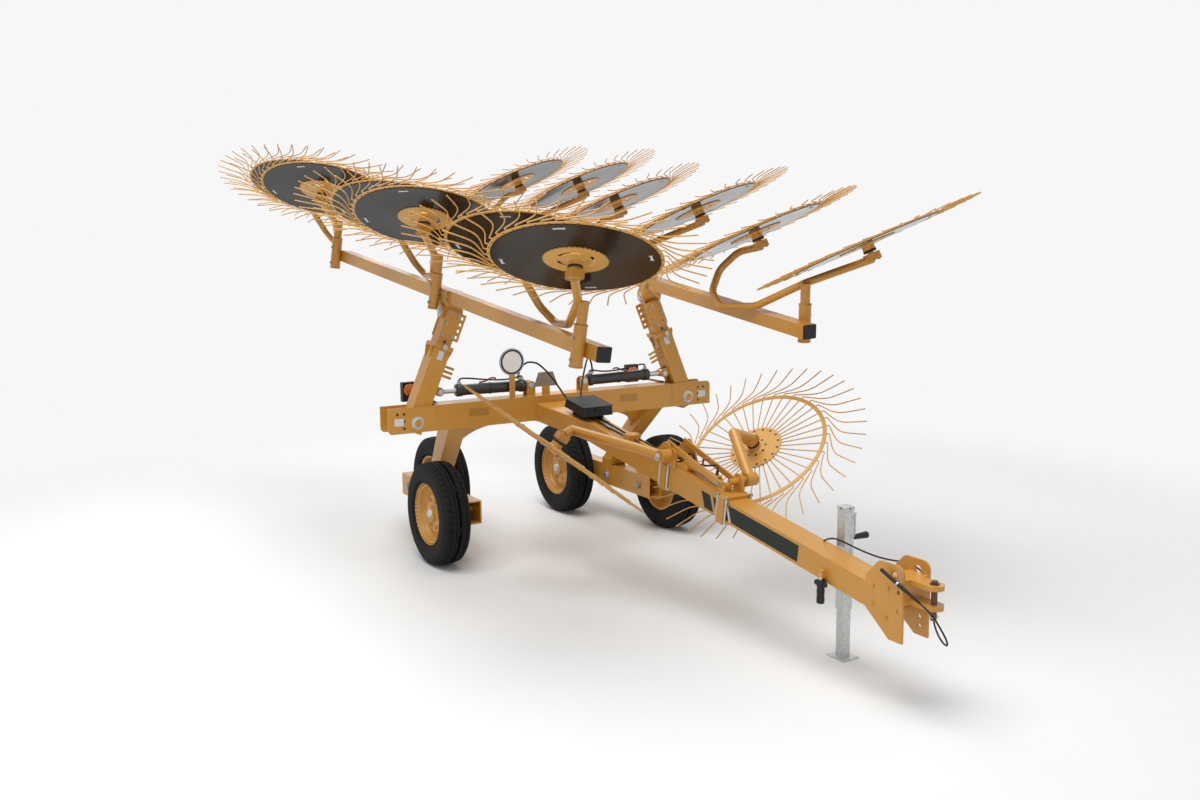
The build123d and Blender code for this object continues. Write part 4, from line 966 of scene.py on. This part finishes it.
def pinCap(low, washer, pin, steps):
    rim, shoulder, top, end = steps
    return [(0, low), (washer, low), (washer, rim), (pin, shoulder), (pin, top), (0, end)]


def addCylinders():
    size = cylinderSizes
    lift, aside = Vector((0, 0, 1)), Vector((0.03, 0, 0))
    x, y, z = size["base"]
    for side, sign in sides.items():
        body = f"fold_cylinder_{side}"
        base, eye = rowPoint(x, sign * y, z), onMast(side, *size["eye"])
        matrix = placeAt(base, eye - base)
        rings = joinShapes([turnProfile(profile, 40, [matrix]) for profile in size["rings"]])
        addPiece(f"barrelRings_{side}", smoothMesh(f"barrelRings_{side}", rings, blackEnamelAndHoleShade), body, "cylinder_black")
        rear, front = [matrix @ Vector((0, 0, along)) for along in size["ports"]]
        ports = [placeAt(end, lift) for end in (rear, front)]
        addTurned(f"cylinderPorts_{side}", size["port"], 6, boltZinc, ports, body, sharp=25)
        pipe = [front.lerp(rear, share) + lift * rise + aside * out for share, rise, out in size["pipe"]]
        addCurve(f"cylinderPipe_{side}", [pipe], size["pipeRadius"], hoseRubber, body)
        start, way = front.lerp(rear, size["lockShare"]) + lift * size["lockRise"], (rear - front).normalized()
        lock = [start + way * along + lift * rise for along, rise in size["lock"]]
        addCurve(f"lockPin_{side}", [lock], size["pipeRadius"], redPaint, body)
        pinEnds = [facingX(x + end * size["basePin"], sign * y, z, end) for end in (-1, 1)]
        cap = pinCap(-0.0005, 0.019, 0.0145, (0.003, 0.0035, 0.008, 0.009))
        addTurned(f"basePinCaps_{side}", cap, 28, zincSteel, pinEnds)
        eyes, (eyeX, *eyePlace) = [], size["eye"]
        for end in (-1, 1):
            eyes.append(placeAt(onMast(side, eyeX + end * size["rodPin"], *eyePlace), (end, 0, 0), (0, 1, 0)))
        cap = pinCap(0, 0.019, 0.0145, (0.003, 0.0035, 0.008, 0.009))
        addTurned(f"rodPinCaps_{side}", cap, 28, zincSteel, eyes, f"mast_{side}")
        (firstX, firstY, firstZ), (lastX, lastY, lastZ) = size["crimps"]
        crimps = [facingUp(firstX, sign * firstY, firstZ)]
        crimps.append(placeAt(rowPoint(lastX, sign * lastY, lastZ), -tongueRun, (0, 1, 0)))
        addTurned(f"hoseCrimps_{side}", size["crimp"], 24, boltZinc, crimps)


addCylinders()
print("cylinders dressed")

# Masts: collar pin with its ring, bracket bolts, gussets, peg tips. Millimetres along and out of the mast
mastSizes = {
    "pinFace": 91, "pinAlong": 530, "pin": [(0, 0), (0.0165, 0), (0.0165, 0.006), (0.014, 0.008), (0, 0.0085)],
    "ring": (506, 512, 0), "ringRadius": 0.021, "ringWire": 0.0022,
    "bracketFace": 63, "bracket": ((612, -38), (612, 30), (758, -38), (758, 30), (685, -38)), "bolt": 0.0125,
    "gussetFace": 40, "gussetAlong": 515, "gussetOut": 60.3, "gusset": (0.09, 0.022), "gussetThick": 0.008,
    "hole": (468.2, 566), "holeRadius": 0.012, "pegs": (352, 384, 416), "pegOut": 150,
    "peg": [(0.0091, -0.004), (0.0091, 0.0), (0.0075, 0.003), (0.004, 0.0045), (0, 0.005)],
}
# Rake beams: black end cap, collars and screws of the three sockets, saddle bolts and tube caps
beamSizes = {
    "capHalf": 0.0435, "capAlong": -22, "capThick": 0.022, "sockets": 3, "first": 135, "pitch": 1820,
    "stemOut": 76.5, "socketTop": 130, "socketFoot": -95, "screwOut": 114, "screwUp": 60, "screw": 0.011,
    "collar": [(0.0302, 0), (0.041, 0), (0.041, 0.006), (0.0385, 0.008), (0.0302, 0.008)],
    "saddle": (1820, 1900), "saddleUp": 20, "saddleOut": 55, "tubeAlong": 1860, "tubeOut": 75, "tubeUp": -99.5,
}


def addMast(side):
    size, body, middle = mastSizes, f"mast_{side}", frameSizes["beamX"]
    tails = [mastFace(side, middle + way * size["pinFace"], size["pinAlong"], 0, way) for way in (-1, 1)]
    addTurned(f"collarPinHeads_{side}", size["pin"], 24, zincSteel, tails, body)
    ringAt = placeAt(onMast(side, *size["ring"]), (0, 1, 0))
    ring = ringRoute(ringAt, size["ringRadius"], size["ringRadius"], 24)
    addCurve(f"collarPinRing_{side}", [ring], size["ringWire"], zincSteel, body, smooth=False)
    bolts, gussets = [], []
    for way in (-1, 1):
        bolts += [mastFace(side, middle + way * size["bracketFace"], *place, way) for place in size["bracket"]]
    addBolts(f"bracketBolts_{side}", bolts, size["bolt"], body)
    long, high = size["gusset"]
    for way in (-1, 1):
        for sign in (-1, 1):
            corner = onMast(side, middle + way * size["gussetFace"] - 4, size["gussetAlong"], sign * size["gussetOut"])
            points = [(0, 0), (long, 0), (0, high * -sides[side] * sign)]
            gussets.append((placeAt(corner, (1, 0, 0), -mastWay(side)), points))
    addPlates(f"mastGussets_{side}", gussets, size["gussetThick"], ochrePaint, body, bevelMm=0.8)
    # The mast hole is a black dot of painted shade
    hole = holeShadeProfile(size["holeRadius"])
    addTurned(f"mastHoles_{side}", hole, 20, blackEnamelAndHoleShade, [mastFace(side, *size["hole"])], body)
    pegs = [placeAt(onMast(side, middle, along, size["pegOut"]), mastInward(side)) for along in size["pegs"]]
    addTurned(f"pegTips_{side}", size["peg"], 20, ochrePaint, pegs, body)


def addBeam(side):
    size, body = beamSizes, f"mast_{side}"
    cap = (beamPlace(side, size["capAlong"], 0, 0, beamRun, beamOut), oblong(size["capHalf"], size["capHalf"]))
    addPlates(f"beamEndCap_{side}", [cap], size["capThick"], blackMoulded, body, bevelMm=4)
    collars, screws, bolts = [], [], []
    for pair in range(size["sockets"]):
        along = size["first"] + size["pitch"] * pair
        collars.append(beamPlace(side, along, size["stemOut"], size["socketTop"], beamRise, beamRun))
        collars.append(beamPlace(side, along, size["stemOut"], size["socketFoot"], -beamRise, beamRun))
        for up in (size["screwUp"], -size["screwUp"]):
            screws.append(beamPlace(side, along, size["screwOut"], up, beamOut, beamRun))
    addTurned(f"socketCollars_{side}", size["collar"], 36, ochrePaint, collars, body)
    addBolts(f"socketScrews_{side}", screws, size["screw"], body)
    for along in size["saddle"]:
        for up in (size["saddleUp"], -size["saddleUp"]):
            for way in (1, -1):
                bolts.append(beamPlace(side, along, way * size["saddleOut"], up, beamOut * way, beamRun))
    addBolts(f"saddleBolts_{side}", bolts, mastSizes["bolt"], body)
    ends = []
    for way in (-1, 1):
        ends.append(beamPlace(side, size["tubeAlong"], way * size["tubeOut"], size["tubeUp"], beamOut * way, beamRun))
    cap = pinCap(0.0002, 0.03, 0.018, (0.005, 0.006, 0.014, 0.015))
    addTurned(f"saddleTubeCaps_{side}", cap, 32, zincSteel, ends, body)


for sideName in sides:
    addMast(sideName)
    addBeam(sideName)
print("masts dressed")

# Arm heads: four bolts each behind the wheel's hub, and black collars on the hubs. Metres
headSizes = {"depth": 0.112, "boltOut": 0.024, "bolt": 0.0085}
collarMesh = plainMesh("hubCollar", turnProfile(hubSizes["collar"], 36), blackMoulded)


def addHead(name, joint, body, xAxis):
    place = placeAt(Vector(joint["pos_m"]), joint["axis"], xAxis)
    turn, out = Matrix.Rotation(pi, 4, "X"), headSizes["boltOut"]
    corners = [Vector((x * out, y * out, -headSizes["depth"])) for x in (-1, 1) for y in (-1, 1)]
    addBolts(f"headBolts_{name}", [place @ Matrix.Translation(c) @ turn for c in corners], headSizes["bolt"], body)
    return place


for sideName in sides:
    for number in range(1, 7):
        name, joint = f"{sideName}_{number}", jointOf[f"rake_spin_{sideName}_{number}"]
        place = addHead(name, joint, f"mast_{sideName}", mirrorSide(sideName, beamOut))
        addPiece(f"hubCollar_{name}", collarMesh, joint["child"], matrix=place)
    joint = jointOf[f"kicker_spin_{sideName}"]
    place = addHead(f"kicker_{sideName}", joint, f"kicker_arm_{sideName}", (1, 0, 0))
    addPiece(f"hubCollar_kicker_{sideName}", collarMesh, joint["child"], matrix=place)
print("arm heads dressed")

# Kicker frame: U-bolts, lift cylinder, pins and hoses on the tongue's top.
# Places are millimetres along the tongue, across it and above its middle line
kickerSizes = {
    "clamps": (1900, 2480), "step": 40, "rod": 0.0075, "rodOut": 86.5, "rodLow": -71.5, "rodHigh": 92, "nutUp": 79,
    "rear": 2050, "front": 2330, "radius": 0.024, "lift": 112.5, "portIn": (24, 26), "portUp": 20,
    "feet": (2044, 2405), "footUp": 77.5, "foot": [(-0.03, 0), (0.03, 0), (0.012, 0.05), (-0.012, 0.05)],
    "port": [(0, 0), (0.012, 0), (0.012, 0.014), (0.009, 0.016), (0.009, 0.03), (0, 0.031)],
    "hose": ((1460, 18, 86), (1500, 18, 86), (1620, 34, 82), (1800, 44, 96), (1960, 40, 108)), "hoseRadius": 0.0055,
    "hoseRise": (44, 128), "hoseTop": 162.5, "hoseBend": ((-40, 20, 22), (0, 4, 26), (0, 0, 0)),
    "handle": ((2172, -6, 148), (2172, -8, 175), (2178, -12, 196), (2200, -14, 205), (2226, -14, 206)),
    "pins": {"right": (1967, 172, 905), "left": (2440, 197, 818)},
    "plate": [(-0.17, 0.08), (0.11, 0.08), (0.1, 0.12), (0.03, 0.215), (0.0, 0.225), (-0.03, 0.21)],
    "plateOut": 78, "plateThick": 0.008, "footThick": 0.012, "handleRadius": 0.006, "nut": 0.0125,
    "linkRear": (1898, 205), "linkFront": (2405, 128), "linkHalf": 0.019, "linkEnd": 0.022, "linkThick": 0.01,
    "linkOut": 55, "linkPinOut": 66, "linkBolt": 0.013, "blockBolt": 0.006,
    "block": (1415, 14, 30, 106.5),
}


def addClamps():
    size = kickerSizes
    low, out, high = size["rodLow"], size["rodOut"], size["rodHigh"]
    # The bend of each U-bolt, from its foot up to one leg
    bend = [(out - 14, low), (out - 4, low + 4), (out, low + 14), (out, 0), (out, high)]
    route = [(-x, z) for x, z in reversed(bend)] + [(0, low)] + bend
    places = [x + step for x in size["clamps"] for step in (-size["step"], size["step"])]
    uBolts = [[onTongue(x, aside, up) for aside, up in route] for x in places]
    nuts = [tongueTop(x, size["nutUp"], sign * out) for x in places for sign in (-1, 1)]
    addCurve("uBolts", uBolts, size["rod"], zincSteel, smooth=False)
    addBolts("uBoltNuts", nuts, size["nut"])


def addLiftCylinder():
    size = kickerSizes
    rear, front, lift, r = size["rear"], size["front"], size["lift"], size["radius"]
    length = (onTongue(front, 0, lift) - onTongue(rear, 0, lift)).length
    profile = [(0, 0), (r + 0.003, 0), (r + 0.003, 0.022), (r, 0.025), (r, length - 0.03), (r + 0.004, length - 0.027)]
    profile += [(r + 0.004, length - 0.004), (r, length), (0.01, length), (0.01, length + 0.07)]
    profile += [(0.016, length + 0.07), (0.016, length + 0.1), (0, length + 0.1)]
    addTurned("kickerLiftCylinder", profile, 32, ochrePaint, [alongTongue(rear, lift)])
    feet = [(alongTongue(x, size["footUp"]), size["foot"]) for x in size["feet"]]
    addPlates("liftCylinderFeet", feet, size["footThick"], ochrePaint)
    portEnds = (rear + size["portIn"][0], front - size["portIn"][1])
    ports = [placeAt(onTongue(x, 0, lift + size["portUp"]), tongueRise, (0, 1, 0)) for x in portEnds]
    addTurned("liftCylinderPorts", size["port"], 6, blackEnamelAndHoleShade, ports, sharp=25)
    hoses, top, last, (riseOut, riseUp) = [], size["hoseTop"], size["hose"][-1][0], size["hoseRise"]
    for sign, x in zip((-1, 1), portEnds):
        route = size["hose"] + (((last + x) / 2, riseOut, riseUp),)
        route += tuple((x + along, aside, top + up) for along, aside, up in size["hoseBend"])
        hoses.append([onTongue(along, sign * aside, up) for along, aside, up in route])
    addCurve("liftCylinderHoses", hoses, size["hoseRadius"], hoseRubber)
    handle = [onTongue(*place) for place in size["handle"]]
    addCurve("lockHandle", [handle], size["handleRadius"], redPaint)


def addKickerFrame():
    size = kickerSizes
    addClamps()
    addLiftCylinder()
    ends = [facingY(x, sides[side] * y, z, sides[side]) for side, (x, y, z) in size["pins"].items()]
    addTurned("kickerPinCaps", pinCap(0.0002, 0.024, 0.015, (0.004, 0.005, 0.013, 0.014)), 32, zincSteel, ends)
    plates, links, pins = [], [], []
    (rearX, rearUp), (frontX, frontUp) = size["linkRear"], size["linkFront"]
    half, end = size["linkHalf"], size["linkEnd"]
    for sign in (-1, 1):
        # Seen from outside, the tongue's rise is up on one side and down on the other
        place = tongueFace(size["clamps"][0], sign * size["plateOut"], sign)
        plates.append((place, [(x, -sign * z) for x, z in size["plate"]]))
        out = sign * size["linkOut"]
        start, stop = onTongue(rearX, out, rearUp), onTongue(frontX, out, frontUp)
        span = (stop - start).length
        bar = [(-end, -half), (span + end, -half), (span + end, half), (-end, half)]
        links.append((placeAt(start, (0, sign, 0), stop - start), bar))
        for x, up in (size["linkRear"], size["linkFront"]):
            pins.append(tongueFace(x, sign * size["linkPinOut"], sign, up))
    addPlates("kickerFramePlates", plates, size["plateThick"], ochrePaint, bevelMm=2)
    addPlates("kickerLinkBars", links, size["linkThick"], ochrePaint, bevelMm=2)
    addBolts("linkBolts", pins, size["linkBolt"])
    x, step, out, up = size["block"]
    blockBolts = [tongueTop(x + along, up, aside) for along in (-step, step) for aside in (-out, out)]
    addBolts("hoseBlockBolts", blockBolts, size["blockBolt"])


addKickerFrame()

# Drilled holes of the kicker hubs, drawn as black dots of painted shade: count and circle of each row
kickerHoles = {"rows": ((16, 0.148), (8, 0.066)), "depth": -0.0114, "radius": 0.0085}


def addKickerHoles():
    for side in sides:
        joint = jointOf[f"kicker_spin_{side}"]
        place = placeAt(Vector(joint["pos_m"]), joint["axis"])
        holes = []
        for count, radius in kickerHoles["rows"]:
            for i in range(count):
                turn = place @ Matrix.Rotation(2 * pi * i / count, 4, "Z")
                inward = Matrix.Translation((radius, 0, kickerHoles["depth"])) @ Matrix.Rotation(pi, 4, "X")
                holes.append(turn @ inward)
        dot = holeShadeProfile(kickerHoles["radius"], 0.0003, 0.0006)
        addTurned(f"kickerHoles_{side}", dot, 16, blackEnamelAndHoleShade, holes, joint["child"])


addKickerHoles()
print("kicker frame dressed")

# Hitch pin with its washer, nut, tail and clip, the plate bolts and the short safety chain
hitchSizes = {
    "pin": (4004, 0), "shankFoot": 529.2, "shank": (0, 0.0146, 0, 0.0716),
    "washerFoot": 625.2, "washer": (0.0142, 0.024, 0, 0.0035),
    "nutFoot": 625.5, "nut": 0.019, "nutGrip": 0.7, "tailFoot": 452,
    "tail": [(0, -0.0005), (0.012, -0.0005), (0.0147, 0.003), (0.0147, 0.052), (0.0142, 0.0525)],
    "clipFoot": 470, "clip": 0.022, "clipEnd": (0.03, -0.02, 0), "clipWire": 0.0022,
    "plateFace": 89.9, "plateBolt": 0.011, "plateGrip": 0.5,
    "plateBolts": {
        -1: ((3800, 565), (3858, 590), (3700, 560), (3700, 470), (3790, 420)),
        1: ((3800, 565), (3858, 500), (3700, 560), (3700, 470), (3790, 420)),
    },
    "links": 6, "firstLink": (3872, -92, 668), "linkStep": (3, 0, -13), "link": (0.009, 0.005), "linkWire": 0.0014,
}


def addHitch():
    size = hitchSizes
    shankPlace, washerPlace = [facingUp(*size["pin"], size[name]) for name in ("shankFoot", "washerFoot")]
    addTurned("hitchPinShank", bandProfile(*size["shank"]), 36, pinSteel, [shankPlace])
    addTurned("hitchPinWasher", bandProfile(*size["washer"]), 32, pinSteel, [washerPlace])
    nut = facingUp(*size["pin"], size["nutFoot"])
    addBolts("hitchPinNut", [nut], size["nut"], material=pinSteel, grip=size["nutGrip"])
    addTurned("hitchPinTail", size["tail"], 36, pinSteel, [facingUp(*size["pin"], size["tailFoot"])])
    clipAt = facingUp(*size["pin"], size["clipFoot"])
    clip = ringRoute(clipAt, size["clip"], size["clip"], 24)[:20] + [clipAt @ Vector(size["clipEnd"])]
    addCurve("hitchPinClip", [clip], size["clipWire"], zincSteel, smooth=False)
    bolts = [facingY(x, way * size["plateFace"], z, way) for way, row in size["plateBolts"].items() for x, z in row]
    addBolts("hitchPlateBolts", bolts, size["plateBolt"], material=ochrePaint, grip=size["plateGrip"])
    chain = []
    for i in range(size["links"]):
        place = [first + i * step for first, step in zip(size["firstLink"], size["linkStep"])]
        facing = (1, 0, 0) if i % 2 else (0, 1, 0)
        chain.append(ringRoute(placeAt(rowPoint(*place), facing, (0, 0, 1)), *size["link"], 14))
    addCurve("safetyChain", chain, size["linkWire"], zincSteel, smooth=False)


addHitch()

# Jack and parking stand: millimetres for places, metres for profiles
jackSizes = {
    "x": 3235, "y": 156, "capHalf": 0.033, "capFoot": 800, "capThick": 0.021,
    "face": 33.1, "holeZ": 811, "hole": 0.006, "gripOut": 63, "gripZ": 645,
    "handle": [
        (0, -0.002), (0.0125, -0.002), (0.0138, 0.003), (0.0145, 0.02), (0.0168, 0.055), (0.0185, 0.08),
        (0.0182, 0.088), (0.013, 0.092), (0, 0.093),
    ],
    "seams": ((30.2, 12), (-30.2, 12)), "seamEnds": (272, 796), "seam": 0.0012,
    "foot": (58, 48, 7.6), "corner": [(-0.012, -0.006), (0.006, -0.006), (0.01, 0.0), (0.006, 0.006), (-0.012, 0.006)],
    "stand": (3341, -100), "standFoot": 371, "studFoot": 492,
    "grip": [
        (0, -0.002), (0.017, -0.002), (0.0205, 0.003), (0.0205, 0.03), (0.0195, 0.032), (0.0195, 0.05),
        (0.0205, 0.052), (0.0205, 0.072), (0.0195, 0.074), (0.0195, 0.086), (0.0225, 0.09), (0.0225, 0.116),
        (0.0195, 0.121), (0.0098, 0.122),
    ],
    "wing": [(0.018, 0.086), (0.042, 0.09), (0.046, 0.104), (0.04, 0.114), (0.018, 0.118)], "wingFace": -93,
    "stud": [(0.0092, 0.001), (0.0097, 0.001), (0.0097, 0.03), (0.0092, 0.031)],
}


def addJack():
    size = jackSizes
    x, y, face, (standX, standY) = size["x"], size["y"], size["face"], size["stand"]
    cap = (facingUp(x, y, size["capFoot"]), oblong(size["capHalf"], size["capHalf"]))
    addPlates("jackCap", [cap], size["capThick"], zincSteel, bevelMm=3)
    # The cap holes are black dots of painted shade
    holes = [facingX(x + way * face, y, size["holeZ"], way) for way in (-1, 1)]
    holes.append(facingY(x, y - face, size["holeZ"], -1))
    addTurned("jackCapHoles", holeShadeProfile(size["hole"]), 16, blackEnamelAndHoleShade, holes)
    grip = placeAt(rowPoint(x, y + size["gripOut"], size["gripZ"]), (0, 1, 0), (0, 0, 1))
    addTurned("jackCrankHandle", size["handle"], 28, blackMoulded, [grip])
    seams = [[rowPoint(x + right, y + out, z) for z in size["seamEnds"]] for right, out in size["seams"]]
    addCurve("jackTubeSeams", seams, size["seam"], zincSteel, smooth=False)
    halfX, halfY, top = size["foot"]
    ways = [(right, out) for right in (-1, 1) for out in (-1, 1)]
    corners = [placeAt(rowPoint(x + r * halfX, y + out * halfY, top), (0, 0, 1), (r, out, 0)) for r, out in ways]
    feet = [(place, size["corner"]) for place in corners]
    addPlates("jackFootCorners", feet, 0.004, zincSteel, "jack_leg", bevelMm=0.6)
    addTurned("standGrip", size["grip"], 32, blackMoulded, [facingUp(standX, standY, size["standFoot"])])
    upright = facingY(standX, size["wingFace"], size["standFoot"], -1)
    wings = [(upright, [(way * out, z) for out, z in size["wing"]]) for way in (-1, 1)]
    addPlates("standGripWings", wings, 0.014, blackMoulded, bevelMm=3)
    addTurned("standStud", size["stud"], 24, zincSteel, [facingUp(standX, standY, size["studFoot"])])


addJack()
print("hitch and jack dressed")

# Lamps: domed lenses, the red wire pair and the strap bolts
lampSizes = {
    "y": 928, "front": (-28, 1134), "rear": (-72, 1120), "wire": 0.0035, "bolts": (350, 372), "boltFoot": 1102.3,
    "dome": [(0.0425, 0), (0.0425, 0.008), (0.04, 0.012), (0.03, 0.0152), (0.016, 0.0168), (0, 0.0172)],
    "frontGrow": (1.02, 0.8),
    "wires": (
        (-34, 880, 1085), (-20, 862, 1084), (20, 850, 1100), (90, 860, 1108),
        (180, 890, 1106), (280, 900, 1104), (372, 905, 1102), (390, 905, 1096),
    ),
}


def addLamps():
    size = lampSizes
    y, (frontX, frontZ), (rearX, rearZ) = size["y"], size["front"], size["rear"]
    wider, lower = size["frontGrow"]
    amber = [(radius * wider, height * lower) for radius, height in size["dome"]]
    addTurned("amberLenses", amber, 36, amberLens, [facingX(frontX, sign * y, frontZ) for sign in (-1, 1)])
    addTurned("tailLenses", size["dome"], 36, tailLens, [facingX(rearX, sign * y, rearZ, -1) for sign in (-1, 1)])
    wires = [[rowPoint(x, sign * out, z) for x, out, z in size["wires"]] for sign in (-1, 1)]
    addCurve("lampWires", wires, size["wire"], redPaint, slotName="black_rubber")
    screws = [facingUp(x, sign * y, size["boltFoot"]) for sign in (-1, 1) for x in size["bolts"]]
    addBolts("lampStrapBolts", screws, 0.007)


addLamps()

# Signs: the round blank sign with its black ring, both stalks and the blunt triangle
signSizes = {
    "round": (-374, 1343), "faces": {"Front": (1, 471), "Rear": (-1, 466)}, "ring": (0.073, 0.087, 0.0002, 0.0009),
    "rim": (0.0915, 0.0935, -0.0008, 0.0058), "stalkFoot": 1094.6, "stalkThick": 0.0062,
    "stalks": ((465.4, -374, 0.0216, 0.157), (453.4, -105, 0.0306, 0.062)),
    "emblem": (453.5, -105, 1154), "emblemHalf": 0.0965, "emblemTop": 0.0565, "emblemHigh": 0.1, "emblemThick": 0.006,
    "boltX": 471.4, "bolts": (1120, 1160),
}


# A sheet that stands upright and faces forward
def upright(x, y, z):
    return Matrix.Translation(rowPoint(x, y, z)) @ Matrix.Rotation(pi / 2, 4, "Z") @ Matrix.Rotation(pi / 2, 4, "X")


def addSigns():
    size = signSizes
    y, z = size["round"]
    for name, (way, x) in size["faces"].items():
        addTurned(f"signRing{name}", bandProfile(*size["ring"]), 64, blackEnamelAndHoleShade, [facingX(x, y, z, way)])
    addTurned("signRim", bandProfile(*size["rim"]), 64, blackEnamelAndHoleShade, [facingX(size["faces"]["Rear"][1], y, z)])
    stalks = []
    for x, aside, half, high in size["stalks"]:
        stalks.append((upright(x, aside, size["stalkFoot"]), [(-half, 0), (half, 0), (half, high), (-half, high)]))
    addPlates("signStalks", stalks, size["stalkThick"], ochrePaint, bevelMm=0.5)
    half, top, high = size["emblemHalf"], size["emblemTop"], size["emblemHigh"]
    plate = [(-half, 0), (half, 0), (top, high), (-top, high)]
    addPlates("emblemPlate", [(upright(*size["emblem"]), plate)], size["emblemThick"], emblemTaupe, bevelMm=0.6)
    addBolts("signBolts", [facingX(size["boltX"], y, bolt) for bolt in size["bolts"]], 0.006)


addSigns()

# Document box: the lid and its latch, on the moulded body that the CAD makes
boxSizes = {
    "x": 850, "lidUp": 158.8, "lidThick": 0.007, "half": (0.131, 0.118), "cut": 0.012,
    "latchX": 988, "latchUp": 136.8, "latchThick": 0.006,
    "latch": [(-0.03, -0.004), (0.03, -0.004), (0.03, 0.02), (-0.03, 0.02)],
}


def addDocumentBox():
    size = boxSizes
    (x, y), cut = size["half"], size["cut"]
    lid = [(-x, cut - y), (cut - x, -y), (x - cut, -y), (x, cut - y)]
    lid += [(x, y - cut), (x - cut, y), (cut - x, y), (-x, y - cut)]
    addPlates("boxLid", [(tongueTop(size["x"], size["lidUp"]), lid)], size["lidThick"], blackMoulded, bevelMm=2.5)
    latch = (alongTongue(size["latchX"], size["latchUp"]), size["latch"])
    addPlates("boxLatch", [latch], size["latchThick"], blackMoulded, bevelMm=1.5)


addDocumentBox()
print("lamps, signs and document box dressed")

# Stage: a white floor that fades into the plain backdrop, and three area lamps as (place, size, watts). Metres
stageSizes = {
    "floor": 60, "fade": (3.6, 6.4), "cloth": "#F1F1F0", "backdrop": "#F7F7F7", "room": "#EDF0F3", "roomLight": 0.42,
    "aim": (0, 0, 1.2),
    "lamps": {
        "keyLamp": ((1.0, -1.8, 8.5), 7, 720),
        "fillLamp": ((7.5, -5.0, 3.6), 5, 90),
        "backLamp": ((-6.0, 2.0, 6.0), 5, 200),
    },
}


# The camera, mirror gloss and clear lenses all see the plain backdrop
def seenRays(tree):
    rays = addNode(tree, "ShaderNodeLightPath").outputs
    pair = {0: rays["Is Camera Ray"], 1: rays["Is Glossy Ray"]}
    first = addNode(tree, "ShaderNodeMath", {"operation": "MAXIMUM"}, pair)
    pair = {0: first.outputs[0], 1: rays["Is Transmission Ray"]}
    return addNode(tree, "ShaderNodeMath", {"operation": "MAXIMUM"}, pair).outputs[0]


def addFloor():
    size = stageSizes
    white, tree, output, place = startMaterial("studioFloor")
    cloth = addNode(tree, "ShaderNodeBsdfDiffuse", {"Color": toLinear(size["cloth"])})
    bare = addNode(tree, "ShaderNodeEmission", {"Color": toLinear(size["backdrop"]), "Strength": 1.0})
    far = addNode(tree, "ShaderNodeVectorMath", {"operation": "LENGTH"}, {0: place})
    near, end = size["fade"]
    ramp = {"From Min": near, "From Max": end, "interpolation_type": "SMOOTHSTEP"}
    fade = addNode(tree, "ShaderNodeMapRange", ramp, {"Value": far.outputs["Value"]})
    pair = {0: seenRays(tree), 1: fade.outputs[0]}
    share = addNode(tree, "ShaderNodeMath", {"operation": "MULTIPLY"}, pair)
    links = {0: share.outputs[0], 1: cloth.outputs[0], 2: bare.outputs[0]}
    finishMaterial(tree, output, addNode(tree, "ShaderNodeMixShader", None, links))
    half = size["floor"]
    mesh = bpy.data.meshes.new("floor")
    mesh.from_pydata([(x, y, 0) for x, y in oblong(half, half)], [], [[0, 1, 2, 3]])
    mesh.materials.append(white)
    floor = bpy.data.objects.new("floor", mesh)
    bpy.context.collection.objects.link(floor)


def addStudio():
    size = stageSizes
    world = bpy.data.worlds.new("studio")
    bpy.context.scene.world = world
    world.use_nodes = True
    tree = world.node_tree
    tree.nodes.clear()
    output = addNode(tree, "ShaderNodeOutputWorld")
    room = addNode(tree, "ShaderNodeBackground", {"Color": toLinear(size["room"]), "Strength": size["roomLight"]})
    plain = addNode(tree, "ShaderNodeBackground", {"Color": toLinear(size["backdrop"]), "Strength": 1.0})
    links = {0: seenRays(tree), 1: room.outputs[0], 2: plain.outputs[0]}
    finishMaterial(tree, output, addNode(tree, "ShaderNodeMixShader", None, links))
    for name, (place, width, power) in size["lamps"].items():
        light = bpy.data.lights.new(name, "AREA")
        light.size = width
        light.energy = power
        lamp = bpy.data.objects.new(name, light)
        lamp.location = place
        lamp.rotation_euler = (Vector(size["aim"]) - Vector(place)).to_track_quat("-Z", "Y").to_euler()
        bpy.context.collection.objects.link(lamp)
    bpy.context.scene.view_settings.view_transform = "Standard"


addFloor()
addStudio()
print("stage set")
